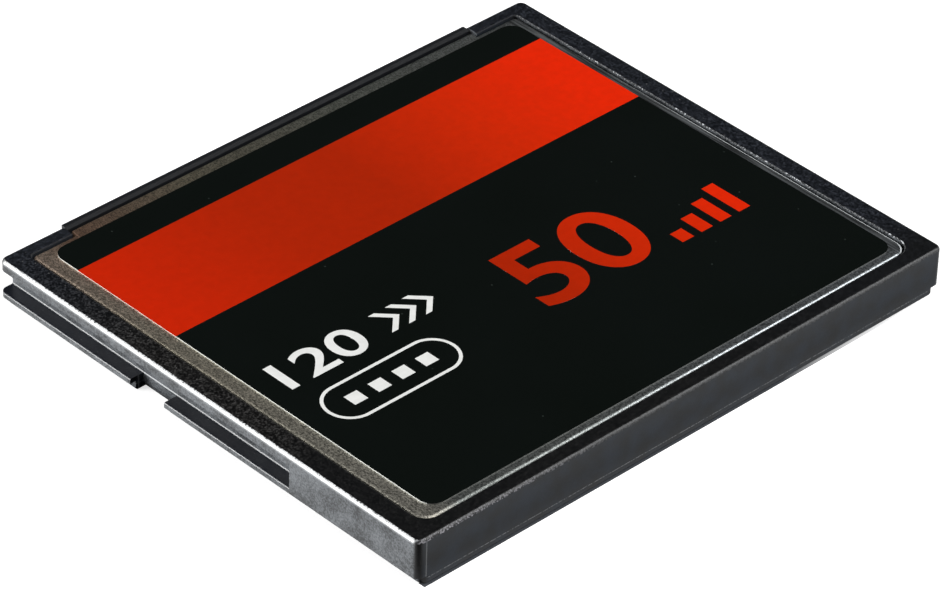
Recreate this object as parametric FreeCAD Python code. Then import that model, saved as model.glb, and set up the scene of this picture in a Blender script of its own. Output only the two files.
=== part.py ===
"""Compact flash card, type I: a moulded frame, two pressed steel covers, a 50-way socket strip
and the populated circuit board between them.

Frame of the part: +X runs across the card, along the label's reading direction. +Y points out of
the socket edge, +Z out of the label. The origin is the middle of the underside's outline.
All sizes are in millimetres.
"""
import FreeCAD, Part
import math
import os

Vector = FreeCAD.Vector

# Card outline
CARD_WIDTH = 42.8
CARD_LENGTH = 36.4
CARD_HEIGHT = 3.3
CORNER_RADIUS = 0.5
TOP_EDGE_ROUND = 0.25
BOTTOM_EDGE_BEVEL = 0.12
SOCKET_PROUD = 0.15

# Side guides
FLANGE_THICKNESS = 0.76
GROOVE_DEPTH = 1.01
GROOVE_LENGTH = 25.78
LEFT_RAIL_HEIGHT = 0.99
RIGHT_RAIL_HEIGHT = 1.60
GAP_FROM_SOCKET_EDGE = 12.0
GAP_LENGTH = 3.0
GAP_BEVEL_HEIGHT = 0.45
GAP_BEVEL_WIDTH = 0.19
GUIDE_ROUND = 0.12
STEP_HEIGHT = 0.63
SIDE_STEP = 0.42
BACK_STEP = 0.06

# Frame walls
RIM_WIDTH = 1.5
BACK_RIM_WIDTH = 1.15
FRONT_RIM_WIDTH = 1.0
WINDOW_BACK_RADIUS = 1.1
WINDOW_FRONT_RADIUS = 0.35
WINDOW_EDGE_BEVEL = 0.06
LEDGE_REACH = 0.6
SHELF_THICKNESS = 0.35
SHELF_REACH = 0.7
SHELF_LENGTH = 3.0
SHELF_END_INSET = 2.2
SHELF_ROOT = 0.3
END_BLOCK_WIDTH = 4.95

# Steel covers
COVER_THICKNESS = 0.2
COVER_BEND_RADIUS = 0.22
COVER_BEND_BEVEL = 0.12
COVER_GAP = 0.1
TOP_COVER_RECESS = 0.08
BOTTOM_COVER_RECESS = 0.05
COVER_CORNER_BEVEL = 0.2
LIP_DEPTH = 0.3
LIP_FLOOR_GAP = 0.06
TAB_SIDE_GAP = 0.1
SIDE_CLIP_COUNT = 3
BACK_CLIP_COUNT = 3
CLIP_WIDTH = 4.6
CLIP_END_GAP = 0.12
CLIP_WINDOW_WIDTH = 2.0
CLIP_WINDOW_HEIGHT = 0.3
CATCH_CLEARANCE = 0.06
CATCH_SHORTFALL = 0.04
CATCH_LEAD_IN = 0.08
CATCH_ROOT = 0.1

# Label and its print
LABEL_THICKNESS = 0.07
LABEL_MARGIN_LEFT = 1.1
LABEL_MARGIN_RIGHT = 0.65
LABEL_MARGIN_BACK = 0.6
LABEL_MARGIN_FRONT = 1.0
LABEL_CORNER_RADIUS = 1.0
PRINT_DEPTH = 0.03
BAND_FROM_FRONT = 2.5
BAND_LENGTH = 8.75
PILL_WIDTH = 9.95
PILL_LENGTH = 3.45
PILL_STROKE = 0.22
PILL_FROM_LEFT = 1.6
PILL_FROM_BAND = 9.55
PILL_STUD_COUNT = 4
PILL_STUD_SIZE = 1.0
PILL_STUD_PITCH = 1.85
CHEVRON_COUNT = 3
CHEVRON_PITCH = 1.35
CHEVRON_SIZE = 2.1
CHEVRON_STROKE = 0.5
CHEVRONS_FROM_LEFT = 9.6
CHEVRONS_FROM_BAND = 7.0
BAR_COUNT = 4
BAR_WIDTH = 0.95
BAR_PITCH = 1.6
BAR_FIRST_LENGTH = 1.1
BAR_GROWTH = 0.7
BARS_FROM_RIGHT = 9.1
BARS_FROM_BAND = 12.85

# Socket strip
WAY_PITCH = 1.27
ROW_SPACING = 1.27
SOCKET_END_MARGIN = 1.0
SOCKET_SIDE_GAP = 0.1
SOCKET_DEPTH = 4.6
SOCKET_LIP_LENGTH = 0.55
SOCKET_TAB_GAP = 0.15
SOCKET_LIP_BEVEL_LENGTH = 0.25
SOCKET_LIP_BEVEL_HEIGHT = 0.09
HOLE_SIZE = 0.65
HOLE_MOUTH_SIZE = 0.95
HOLE_MOUTH_DEPTH = 0.3
HOLE_REAR_WALL = 0.7
EAR_REACH = 0.7
EAR_LENGTH = 2.2
EAR_HEIGHT = 1.7
EAR_SETBACK = 0.7
EAR_CLEARANCE = 0.05

# Contacts
CONTACT_THICKNESS = 0.12
CONTACT_WIDTH = 0.42
CONTACT_CLEARANCE = 0.03
CONTACT_TIP_SETBACK = 0.9
CONTACT_BEAM_DROP = 0.14
CONTACT_BEAM_LENGTH = 1.9
CONTACT_TAIL_REACH = 0.35
CONTACT_TAIL_SLOPE = 0.3
CONTACT_FOOT_LENGTH = 0.6

# Circuit board
BOARD_THICKNESS = 0.5
BOARD_GAP = 0.2
BOARD_SOCKET_GAP = 0.1
BOARD_CORNER_BEVEL = 0.4

# Chips
CHIP_STANDOFF = 0.05
CHIP_COVER_GAP = 0.08
FLASH_WIDTH = 12.0
FLASH_LENGTH = 18.4
FLASH_LEAD_PITCH = 0.5
FLASH_LEAD_WIDTH = 0.22
FLASH_EDGE_INSET = 1.0
FLASH_CAPACITOR_GAP = 0.4
LEAD_THICKNESS = 0.13
LEAD_SLOPE = 0.45
LEAD_FOOT = 0.35
CONTROLLER_SIZE = 10.0
CONTROLLER_COVER_GAP = 0.22
CONTROLLER_LEADS_PER_SIDE = 11
CONTROLLER_LEAD_PITCH = 0.8
CONTROLLER_LEAD_WIDTH = 0.37
CONTROLLER_EDGE_INSET = 1.0
CONTROLLER_BACK_INSET = 4.2
PIN_MARK_SIZE = 0.9
PIN_MARK_DEPTH = 0.06
PIN_MARK_INSET = 1.3

# Small board parts
CAPACITOR_COUNT = 9
CAPACITOR_PITCH = 3.6
CAPACITOR_LENGTH = 1.0
CAPACITOR_WIDTH = 0.5
CAPACITOR_HEIGHT = 0.5
CAPACITOR_FOOT_GAP = 0.4
RESISTOR_COUNT = 8
RESISTOR_PITCH = 1.4
RESISTOR_LENGTH = 1.0
RESISTOR_WIDTH = 0.5
RESISTOR_HEIGHT = 0.35
RESISTOR_FROM_BACK = 2.0
TERMINAL_SHARE = 0.22
OSCILLATOR_LENGTH = 3.2
OSCILLATOR_WIDTH = 2.5
OSCILLATOR_BASE_HEIGHT = 0.45
OSCILLATOR_LID_HEIGHT = 0.25
OSCILLATOR_LID_INSET = 0.25
OSCILLATOR_SPACING = 1.2
OSCILLATOR_OFFSET = 2.5
REGULATOR_LENGTH = 2.9
REGULATOR_WIDTH = 1.6
REGULATOR_COVER_GAP = 0.17
REGULATOR_BACK_COUNT = 3
REGULATOR_FRONT_COUNT = 2
REGULATOR_LEAD_PITCH = 0.95
REGULATOR_LEAD_WIDTH = 0.35
REGULATOR_SPACING = 4.4
TANTALUM_COUNT = 2
TANTALUM_LENGTH = 3.5
TANTALUM_WIDTH = 2.8
TANTALUM_FILM_GAP = 0.05
TANTALUM_STRAP = 0.8
TANTALUM_STRAP_WIDTH = 1.9
TANTALUM_STRAP_THICKNESS = 0.1
TANTALUM_FROM_FRONT = 5.0
TANTALUM_SPACING = 5.0
FILM_THICKNESS = 0.05
FILM_MARGIN = 1.2

# Levels
LEFT = -CARD_WIDTH / 2
RIGHT = CARD_WIDTH / 2
BACK = -CARD_LENGTH / 2
SOCKET_FACE = CARD_LENGTH / 2
RIM_FRONT = SOCKET_FACE - SOCKET_PROUD
MID_HEIGHT = CARD_HEIGHT / 2
BOARD_TOP = MID_HEIGHT + BOARD_THICKNESS / 2
BOARD_BOTTOM = MID_HEIGHT - BOARD_THICKNESS / 2
COVER_TOP = CARD_HEIGHT - TOP_COVER_RECESS
TOP_SEAT = COVER_TOP - COVER_THICKNESS
BOTTOM_SEAT = BOTTOM_COVER_RECESS + COVER_THICKNESS
LEDGE_TOP = BOARD_TOP
LEDGE_BOTTOM = BOARD_BOTTOM - SHELF_THICKNESS
LABEL_TOP = COVER_TOP + LABEL_THICKNESS
FILM_TOP = BOTTOM_SEAT + FILM_THICKNESS

# Places in plan
WINDOW_X = CARD_WIDTH / 2 - RIM_WIDTH
WINDOW_BACK = BACK + BACK_RIM_WIDTH
WINDOW_FRONT = RIM_FRONT - FRONT_RIM_WIDTH
CAVITY_X = WINDOW_X - LEDGE_REACH
CAVITY_BACK = WINDOW_BACK + LEDGE_REACH
SOCKET_X = CARD_WIDTH / 2 - END_BLOCK_WIDTH
WAYS_PER_ROW = int(2 * (SOCKET_X - SOCKET_END_MARGIN) / WAY_PITCH) + 1
SOCKET_REAR = SOCKET_FACE - SOCKET_DEPTH
SOCKET_LIP_REAR = SOCKET_FACE - SOCKET_LIP_LENGTH
MOUTH_X = SOCKET_X + SOCKET_SIDE_GAP
COVER_X = WINDOW_X - COVER_GAP
COVER_BACK = WINDOW_BACK + COVER_GAP
COVER_FRONT = WINDOW_FRONT - COVER_GAP
TAB_X = MOUTH_X - TAB_SIDE_GAP
TAB_FRONT = SOCKET_LIP_REAR - SOCKET_TAB_GAP
BOARD_X = CAVITY_X - BOARD_GAP
BOARD_BACK = CAVITY_BACK + BOARD_GAP
BOARD_FRONT = SOCKET_REAR - BOARD_SOCKET_GAP
CONTACT_FEET_REAR = SOCKET_REAR - CONTACT_TAIL_REACH - CONTACT_TAIL_SLOPE - CONTACT_FOOT_LENGTH
CAPACITOR_MIDDLE = CONTACT_FEET_REAR - CAPACITOR_FOOT_GAP - CAPACITOR_LENGTH / 2
LEAD_SPAN = LEAD_SLOPE + LEAD_FOOT
LABEL_LEFT = -COVER_X + LABEL_MARGIN_LEFT
LABEL_RIGHT = COVER_X - LABEL_MARGIN_RIGHT
LABEL_BACK = COVER_BACK + LABEL_MARGIN_BACK
LABEL_FRONT = TAB_FRONT - LABEL_MARGIN_FRONT
BAND_BACK = LABEL_FRONT - BAND_FROM_FRONT - BAND_LENGTH
LIP_FLOOR_INSET = COVER_GAP + COVER_THICKNESS + COVER_GAP

# How far a cut runs past the surface it opens, and how near two lengths count as one
OVERSHOOT = 1.0
SAME = 1e-4


# Small shape helpers

def block(x_low, x_high, y_low, y_high, z_low, z_high):
    """A plain block between two corners."""
    return Part.makeBox(x_high - x_low, y_high - y_low, z_high - z_low, Vector(x_low, y_low, z_low))


def block_about(middle, length, width, z_low, z_high):
    """A plain block about a middle in plan, `length` along X and `width` along Y."""
    x, y = middle
    return block(x - length / 2, x + length / 2, y - width / 2, y + width / 2, z_low, z_high)


def both_sides(shape):
    """The shape and its mirror image across the card's middle."""
    return [shape, shape.mirror(Vector(0, 0, 0), Vector(1, 0, 0))]


def turned_over(shape):
    """The shape mirrored to the card's other face, about its middle height."""
    return shape.mirror(Vector(0, 0, MID_HEIGHT), Vector(0, 0, 1))


def rounded_outline(points, radii):
    """A closed outline through the points, each turned by an arc of its own radius."""
    ends = []
    arcs = []
    for index, radius in enumerate(radii):
        here = points[index]
        before = (points[index - 1] - here).normalize()
        after = (points[(index + 1) % len(points)] - here).normalize()
        if radius <= 0:
            ends.append((here, here))
            arcs.append(None)
            continue
        half_turn = before.getAngle(after) / 2
        reach = radius / math.tan(half_turn)
        start = here + before * reach
        finish = here + after * reach
        middle = here + (before + after).normalize() * (radius / math.sin(half_turn) - radius)
        ends.append((start, finish))
        arcs.append(Part.Arc(start, middle, finish).toShape())
    edges = []
    for index, arc in enumerate(arcs):
        if arc:
            edges.append(arc)
        leave = ends[index][1]
        arrive = ends[(index + 1) % len(ends)][0]
        if leave.distanceToPoint(arrive) > SAME:
            edges.append(Part.makeLine(leave, arrive))
    return Part.Wire(edges)


def plate(corners, z_low, z_high):
    """A flat plate through the corners (x, y, radius)."""
    points = [Vector(x, y, z_low) for x, y, _ in corners]
    outline = rounded_outline(points, [radius for _, _, radius in corners])
    return Part.Face(outline).extrude(Vector(0, 0, z_high - z_low))


def bar(corners, y_low, y_high):
    """A straight bar along Y whose section has the corners (x, z, radius)."""
    points = [Vector(x, y_low, z) for x, z, _ in corners]
    outline = rounded_outline(points, [radius for _, _, radius in corners])
    return Part.Face(outline).extrude(Vector(0, y_high - y_low, 0))


def rectangle(x_low, x_high, y_low, y_high, back_radius, front_radius):
    """The corners of a rectangle whose back and front corners have their own radii."""
    return [
        (x_low, y_low, back_radius),
        (x_high, y_low, back_radius),
        (x_high, y_high, front_radius),
        (x_low, y_high, front_radius),
    ]


def bevelled_back(side, back, front, bevel):
    """The corners of a rectangle about the card's middle line whose two back corners are bevelled."""
    right_half = [(side - bevel, back, 0), (side, back + bevel, 0), (side, front, 0)]
    return right_half + [(-x, y, radius) for x, y, radius in right_half[::-1]]


def edges_where(shape, test):
    """The edges whose two ends and middle all pass the test."""
    chosen = []
    for edge in shape.Edges:
        middle = edge.valueAt((edge.FirstParameter + edge.LastParameter) / 2)
        spots = [vertex.Point for vertex in edge.Vertexes] + [middle]
        if all(test(spot) for spot in spots):
            chosen.append(edge)
    return chosen


def near(value, target):
    """True where two lengths are the same to a hair."""
    return abs(value - target) < SAME


def spread(count, pitch):
    """Evenly spaced places about zero."""
    return [(index - (count - 1) / 2) * pitch for index in range(count)]


def ribbon(points, thickness, width, x_middle, upright_start=False):
    """A bent strip of metal: a line of (y, z) points with mitred bends, as wide as asked along X.

    Its ends are cut square to the strip, or upright at the start where that lies on a wall.
    """
    sides = ([], [])
    for index, (y, z) in enumerate(points):
        normals = []
        for first, second in ((index - 1, index), (index, index + 1)):
            if first < 0 or second >= len(points):
                continue
            run_y = points[second][0] - points[first][0]
            run_z = points[second][1] - points[first][1]
            length = math.hypot(run_y, run_z)
            normals.append((-run_z / length, run_y / length))
        if upright_start and index == 0:
            normals.append((-normals[0][0], normals[0][1]))
        normal_y = sum(normal[0] for normal in normals)
        normal_z = sum(normal[1] for normal in normals)
        size = math.hypot(normal_y, normal_z)
        normal_y /= size
        normal_z /= size
        squareness = normal_y * normals[0][0] + normal_z * normals[0][1]
        offset = thickness / 2 / squareness
        for side, sign in zip(sides, (1, -1)):
            shift = sign * offset
            side.append(Vector(x_middle - width / 2, y + normal_y * shift, z + normal_z * shift))
    outline = sides[0] + sides[1][::-1]
    return Part.Face(Part.makePolygon(outline + outline[:1])).extrude(Vector(width, 0, 0))


# Moulded frame

def guide_cuts(rail_height):
    """What is cut away for the left side's guide groove and for the gap in its rail."""
    wall = LEFT + GROOVE_DEPTH
    outside = LEFT - OVERSHOOT
    ceiling = CARD_HEIGHT - FLANGE_THICKNESS
    groove = bar([
        (outside, rail_height - GUIDE_ROUND, 0),
        (LEFT, rail_height - GUIDE_ROUND, 0),
        (LEFT, rail_height, GUIDE_ROUND),
        (wall, rail_height, GUIDE_ROUND),
        (wall, ceiling, 0),
        (outside, ceiling, 0),
    ], SOCKET_FACE - GROOVE_LENGTH, SOCKET_FACE + OVERSHOOT)
    gap_front = SOCKET_FACE - GAP_FROM_SOCKET_EDGE
    gap = bar([
        (outside, -OVERSHOOT, 0),
        (wall + GAP_BEVEL_WIDTH, -OVERSHOOT, 0),
        (wall + GAP_BEVEL_WIDTH, 0, 0),
        (wall, GAP_BEVEL_HEIGHT, 0),
        (wall, rail_height + GUIDE_ROUND, 0),
        (outside, rail_height + GUIDE_ROUND, 0),
    ], gap_front - GAP_LENGTH, gap_front)
    return [groove, gap]


def frame_blank():
    """The frame's outside: a rounded block with its lower step, guide grooves and rail gaps."""
    outline = rectangle(LEFT, RIGHT, BACK, RIM_FRONT, CORNER_RADIUS, CORNER_RADIUS)
    lower_outline = rectangle(
        LEFT + SIDE_STEP, RIGHT - SIDE_STEP, BACK + BACK_STEP, RIM_FRONT, CORNER_RADIUS, CORNER_RADIUS,
    )
    upper = plate(outline, STEP_HEIGHT, CARD_HEIGHT)
    upper = upper.makeFillet(TOP_EDGE_ROUND, edges_where(upper, lambda spot: near(spot.z, CARD_HEIGHT)))
    lower = plate(lower_outline, 0, STEP_HEIGHT)
    lower = lower.makeChamfer(BOTTOM_EDGE_BEVEL, edges_where(lower, lambda spot: near(spot.z, 0)))
    right_cuts = [both_sides(cut)[1] for cut in guide_cuts(RIGHT_RAIL_HEIGHT)]
    return upper.fuse(lower).cut(guide_cuts(LEFT_RAIL_HEIGHT) + right_cuts)


def window_outline(inset):
    """The window that a cover lies in, open to the front where the socket strip stands."""
    side = WINDOW_X - inset
    back = WINDOW_BACK + inset
    front = WINDOW_FRONT - inset
    mouth = MOUTH_X - inset
    back_radius = WINDOW_BACK_RADIUS - inset
    return [
        (-side, back, back_radius),
        (side, back, back_radius),
        (side, front, WINDOW_FRONT_RADIUS),
        (mouth, front, 0),
        (mouth, RIM_FRONT + OVERSHOOT, 0),
        (-mouth, RIM_FRONT + OVERSHOOT, 0),
        (-mouth, front, 0),
        (-side, front, WINDOW_FRONT_RADIUS),
    ]


def clip_places():
    """The middle of each cover clip and its direction: (x, y, turn about Z)."""
    side_length = SOCKET_REAR - COVER_BACK
    side_middle = (SOCKET_REAR + COVER_BACK) / 2
    places = []
    for offset in spread(SIDE_CLIP_COUNT, side_length / SIDE_CLIP_COUNT):
        places.append((COVER_X, side_middle + offset, 0))
        places.append((-COVER_X, side_middle + offset, 180))
    for offset in spread(BACK_CLIP_COUNT, 2 * COVER_X / BACK_CLIP_COUNT):
        places.append((offset, COVER_BACK, -90))
    return places


def placed(shape, x, y, turn):
    """A shape made at the origin facing +X, turned about Z and set in its place."""
    moved = shape.copy()
    moved.rotate(Vector(0, 0, 0), Vector(0, 0, 1), turn)
    moved.translate(Vector(x, y, 0))
    return moved


def top_clip_depth():
    """How far the upper cover's clips reach below its face."""
    return COVER_TOP - LEDGE_TOP - CLIP_END_GAP


def bottom_clip_depth():
    """How far the lower cover's clips reach above its face."""
    return LEDGE_BOTTOM - BOTTOM_COVER_RECESS - CLIP_END_GAP


def clip_window_middle(clip_depth):
    """The depth of a clip window's middle, half way between the cover's lip and the clip's end."""
    return (LIP_DEPTH + clip_depth) / 2


def catch(face_level, clip_depth, towards_face):
    """A wedge on the frame's wall that a clip's window snaps over."""
    middle = face_level - towards_face * clip_window_middle(clip_depth)
    half_height = CLIP_WINDOW_HEIGHT / 2 - CATCH_CLEARANCE
    half_width = CLIP_WINDOW_WIDTH / 2 - CATCH_CLEARANCE
    reach = COVER_THICKNESS - CATCH_SHORTFALL
    root = COVER_GAP + CATCH_ROOT
    section = [
        Vector(root, -half_width, middle - towards_face * half_height),
        Vector(-reach, -half_width, middle - towards_face * half_height),
        Vector(CATCH_LEAD_IN - reach, -half_width, middle + towards_face * half_height),
        Vector(root, -half_width, middle + towards_face * half_height),
    ]
    return Part.Face(Part.makePolygon(section + section[:1])).extrude(Vector(0, 2 * half_width, 0))


def catches():
    """The wedges for the clips of both covers."""
    upper = catch(COVER_TOP, top_clip_depth(), 1)
    lower = catch(BOTTOM_COVER_RECESS, bottom_clip_depth(), -1)
    return [placed(wedge, x, y, turn) for wedge in (upper, lower) for x, y, turn in clip_places()]


def board_shelves():
    """Small shelves on the side walls that carry the circuit board near its corners."""
    shelves = []
    tip = CAVITY_X - SHELF_REACH
    root = CAVITY_X + SHELF_ROOT
    for y in (BOARD_BACK + SHELF_END_INSET, BOARD_FRONT - SHELF_END_INSET - SHELF_LENGTH):
        shelf = block(tip, root, y, y + SHELF_LENGTH, LEDGE_BOTTOM, BOARD_BOTTOM)
        shelves.extend(both_sides(shelf))
    return shelves


def ear_slots():
    """Pockets in the front corner blocks that the socket strip's ears drop into."""
    front = SOCKET_REAR + EAR_SETBACK + EAR_LENGTH
    slot = block(
        MOUTH_X - OVERSHOOT, SOCKET_X + EAR_REACH + EAR_CLEARANCE,
        SOCKET_REAR + EAR_SETBACK - EAR_CLEARANCE, front + EAR_CLEARANCE,
        MID_HEIGHT - EAR_HEIGHT / 2, CARD_HEIGHT,
    )
    return both_sides(slot)


def frame():
    """The moulded ring: rims, ledge, shelves, corner blocks and catches."""
    body = frame_blank()
    lip_floor = LIP_DEPTH + LIP_FLOOR_GAP
    top_recess = plate(window_outline(0), TOP_SEAT, CARD_HEIGHT + OVERSHOOT)
    bottom_recess = plate(window_outline(0), -OVERSHOOT, BOTTOM_SEAT)
    body = body.cut([top_recess, bottom_recess])
    lip_island = plate(window_outline(LIP_FLOOR_INSET), 0, CARD_HEIGHT)
    lip_trench = plate(window_outline(0), 0, CARD_HEIGHT).cut(lip_island)
    deep = block(LEFT, RIGHT, BACK, SOCKET_FACE, COVER_TOP - lip_floor, CARD_HEIGHT)
    shallow = block(LEFT, RIGHT, BACK, SOCKET_FACE, 0, BOTTOM_COVER_RECESS + lip_floor)
    body = body.cut([lip_trench.common(deep), lip_trench.common(shallow)])
    channel_corners = bevelled_back(WINDOW_X, WINDOW_BACK, SOCKET_REAR, WINDOW_BACK_RADIUS)
    cavity_corners = bevelled_back(CAVITY_X, CAVITY_BACK, SOCKET_REAR, BOARD_CORNER_BEVEL)
    body = body.cut([
        plate(channel_corners, LEDGE_TOP, CARD_HEIGHT),
        plate(channel_corners, 0, LEDGE_BOTTOM),
        plate(cavity_corners, 0, CARD_HEIGHT),
        block(-MOUTH_X, MOUTH_X, SOCKET_REAR - COVER_GAP, SOCKET_FACE, 0, CARD_HEIGHT),
    ])
    body = body.cut(ear_slots())
    body = body.makeChamfer(WINDOW_EDGE_BEVEL, edges_where(body, is_window_edge))
    return body.fuse(catches() + board_shelves()).removeSplitter()


def is_window_edge(spot):
    """True on the upper window's edge, where the rim's top face turns down to the cover."""
    across = abs(spot.x) < WINDOW_X + SAME
    along = WINDOW_BACK - SAME < spot.y < WINDOW_FRONT + SAME
    return near(spot.z, CARD_HEIGHT) and across and along


# Covers

def cover_outline(inset):
    """A cover's outline, with its tab reaching out to the socket strip's lip."""
    side = COVER_X - inset
    back = COVER_BACK + inset
    front = COVER_FRONT - inset
    tab_side = TAB_X - inset
    tab_front = TAB_FRONT - inset
    back_radius = WINDOW_BACK_RADIUS - COVER_GAP - inset
    right_half = [
        (side, front - COVER_CORNER_BEVEL, 0),
        (side - COVER_CORNER_BEVEL, front, 0),
        (tab_side, front, 0),
        (tab_side, tab_front - COVER_CORNER_BEVEL, 0),
        (tab_side - COVER_CORNER_BEVEL, tab_front, 0),
    ]
    left_half = [(-x, y, radius) for x, y, radius in right_half[::-1]]
    return [(-side, back, back_radius), (side, back, back_radius)] + right_half + left_half


def cover_blank(clip_depth):
    """A cover's outer form lying face up at z 0, and the edges where its face bends over to its lip."""
    blank = plate(cover_outline(0), -clip_depth, 0)
    return blank, edges_where(blank, lambda spot: near(spot.z, 0))


def cover(blank, clip_depth):
    """A pressed cover made from its outer form: a plate, a turned-down lip and clips with windows."""
    hollow = plate(cover_outline(COVER_THICKNESS), -clip_depth - OVERSHOOT, -COVER_THICKNESS)
    pan = blank.cut(hollow)
    keep = [block(LEFT, RIGHT, BACK, SOCKET_FACE, -LIP_DEPTH, OVERSHOOT)]
    for x, y, turn in clip_places():
        strip = block(-OVERSHOOT, OVERSHOOT, -CLIP_WIDTH / 2, CLIP_WIDTH / 2, -clip_depth, -LIP_DEPTH)
        keep.append(placed(strip, x, y, turn))
    pan = pan.common(keep[0].fuse(keep[1:]))
    middle = -clip_window_middle(clip_depth)
    window = block(
        -OVERSHOOT, OVERSHOOT, -CLIP_WINDOW_WIDTH / 2, CLIP_WINDOW_WIDTH / 2,
        middle - CLIP_WINDOW_HEIGHT / 2, middle + CLIP_WINDOW_HEIGHT / 2,
    )
    return pan.cut([placed(window, x, y, turn) for x, y, turn in clip_places()])


def top_cover():
    """The upper cover, drawn over a round bend."""
    blank, bends = cover_blank(top_clip_depth())
    shape = cover(blank.makeFillet(COVER_BEND_RADIUS, bends), top_clip_depth())
    shape.translate(Vector(0, 0, COVER_TOP))
    return shape


def bottom_cover():
    """The lower cover, folded over a bevelled bend."""
    blank, bends = cover_blank(bottom_clip_depth())
    shape = cover(blank.makeChamfer(COVER_BEND_BEVEL, bends), bottom_clip_depth())
    shape = shape.mirror(Vector(0, 0, 0), Vector(0, 0, 1))
    shape.translate(Vector(0, 0, BOTTOM_COVER_RECESS))
    return shape


def insulating_film():
    """A thin film on the inside of the lower cover, under the board's joints."""
    side = CAVITY_X - FILM_MARGIN
    back = CAVITY_BACK + FILM_MARGIN
    return block(-side, side, back, SOCKET_REAR - FILM_MARGIN, BOTTOM_SEAT, FILM_TOP)


# Label

def print_level(corners):
    """A printed field: a thin layer let into the label's face."""
    return plate(corners, LABEL_TOP - PRINT_DEPTH, LABEL_TOP)


def label_band():
    """The band of colour across the label."""
    return print_level(rectangle(LABEL_LEFT, LABEL_RIGHT, BAND_BACK, BAND_BACK + BAND_LENGTH, 0, 0))


def pill_ring():
    """The outline of a round-ended field."""
    x = LABEL_LEFT + PILL_FROM_LEFT
    y = BAND_BACK - PILL_FROM_BAND - PILL_LENGTH
    end_radius = PILL_LENGTH / 2
    outer = rectangle(x, x + PILL_WIDTH, y, y + PILL_LENGTH, end_radius, end_radius)
    inner = rectangle(
        x + PILL_STROKE, x + PILL_WIDTH - PILL_STROKE, y + PILL_STROKE, y + PILL_LENGTH - PILL_STROKE,
        end_radius - PILL_STROKE, end_radius - PILL_STROKE,
    )
    return print_level(outer).cut(print_level(inner))


def pill_studs():
    """A row of plain squares in the round-ended field."""
    x_middle = LABEL_LEFT + PILL_FROM_LEFT + PILL_WIDTH / 2
    y_middle = BAND_BACK - PILL_FROM_BAND - PILL_LENGTH / 2
    low = LABEL_TOP - PRINT_DEPTH
    return [
        block_about((x_middle + offset, y_middle), PILL_STUD_SIZE, PILL_STUD_SIZE, low, LABEL_TOP)
        for offset in spread(PILL_STUD_COUNT, PILL_STUD_PITCH)
    ]


def chevrons():
    """Plain arrow heads in a row, pointing along +X."""
    heads = []
    for index in range(CHEVRON_COUNT):
        x = LABEL_LEFT + CHEVRONS_FROM_LEFT + index * CHEVRON_PITCH
        y = BAND_BACK - CHEVRONS_FROM_BAND
        tip = x + CHEVRON_SIZE / 2
        heads.append(print_level([
            (x, y - CHEVRON_SIZE / 2, 0),
            (x + CHEVRON_STROKE, y - CHEVRON_SIZE / 2, 0),
            (tip + CHEVRON_STROKE, y, 0),
            (x + CHEVRON_STROKE, y + CHEVRON_SIZE / 2, 0),
            (x, y + CHEVRON_SIZE / 2, 0),
            (tip, y, 0),
        ]))
    return heads


def label_white_marks():
    return Part.makeCompound([pill_ring()] + pill_studs() + chevrons())


def label_orange_marks():
    """A row of bars that grow from left to right."""
    bars = []
    for index in range(BAR_COUNT):
        x = LABEL_RIGHT - BARS_FROM_RIGHT + index * BAR_PITCH
        y = BAND_BACK - BARS_FROM_BAND
        length = BAR_FIRST_LENGTH + index * BAR_GROWTH
        bars.append(print_level(rectangle(x, x + BAR_WIDTH, y, y + length, 0, 0)))
    return Part.makeCompound(bars)


def label_sheet():
    """The label: a thin sheet on the upper cover, with its printed fields let in."""
    corners = rectangle(
        LABEL_LEFT, LABEL_RIGHT, LABEL_BACK, LABEL_FRONT, LABEL_CORNER_RADIUS, LABEL_CORNER_RADIUS,
    )
    fields = [label_band()] + label_white_marks().Solids + label_orange_marks().Solids
    return plate(corners, COVER_TOP, LABEL_TOP).cut(fields)


# Socket strip and contacts

def way_places():
    return spread(WAYS_PER_ROW, WAY_PITCH)


def row_levels():
    return (MID_HEIGHT + ROW_SPACING / 2, MID_HEIGHT - ROW_SPACING / 2)


def contact_rise():
    """How far a contact's strip lies from the middle of its hole."""
    return HOLE_SIZE / 2 - CONTACT_CLEARANCE - CONTACT_THICKNESS / 2


def socket_hole(x, z, side):
    """One way's hole with its funnel mouth, and the slot in the rear wall for its contact."""
    half = HOLE_SIZE / 2
    mouth = HOLE_MOUTH_SIZE / 2
    hole = block(x - half, x + half, SOCKET_REAR + HOLE_REAR_WALL, SOCKET_FACE, z - half, z + half)
    squares = []
    for reach, y in ((mouth, SOCKET_FACE), (half, SOCKET_FACE - HOLE_MOUTH_DEPTH)):
        signs = ((-1, -1), (1, -1), (1, 1), (-1, 1))
        spots = [Vector(x + across * reach, y, z + upward * reach) for across, upward in signs]
        squares.append(Part.makePolygon(spots + spots[:1]))
    funnel = Part.makeLoft(squares, True, True)
    strip_level = z + side * contact_rise()
    half_slot = CONTACT_THICKNESS / 2 + CONTACT_CLEARANCE
    half_width = CONTACT_WIDTH / 2 + CONTACT_CLEARANCE
    slot = block(
        x - half_width, x + half_width, SOCKET_REAR - OVERSHOOT, SOCKET_REAR + HOLE_REAR_WALL,
        strip_level - half_slot, strip_level + half_slot,
    )
    return [hole, funnel, slot]


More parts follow.
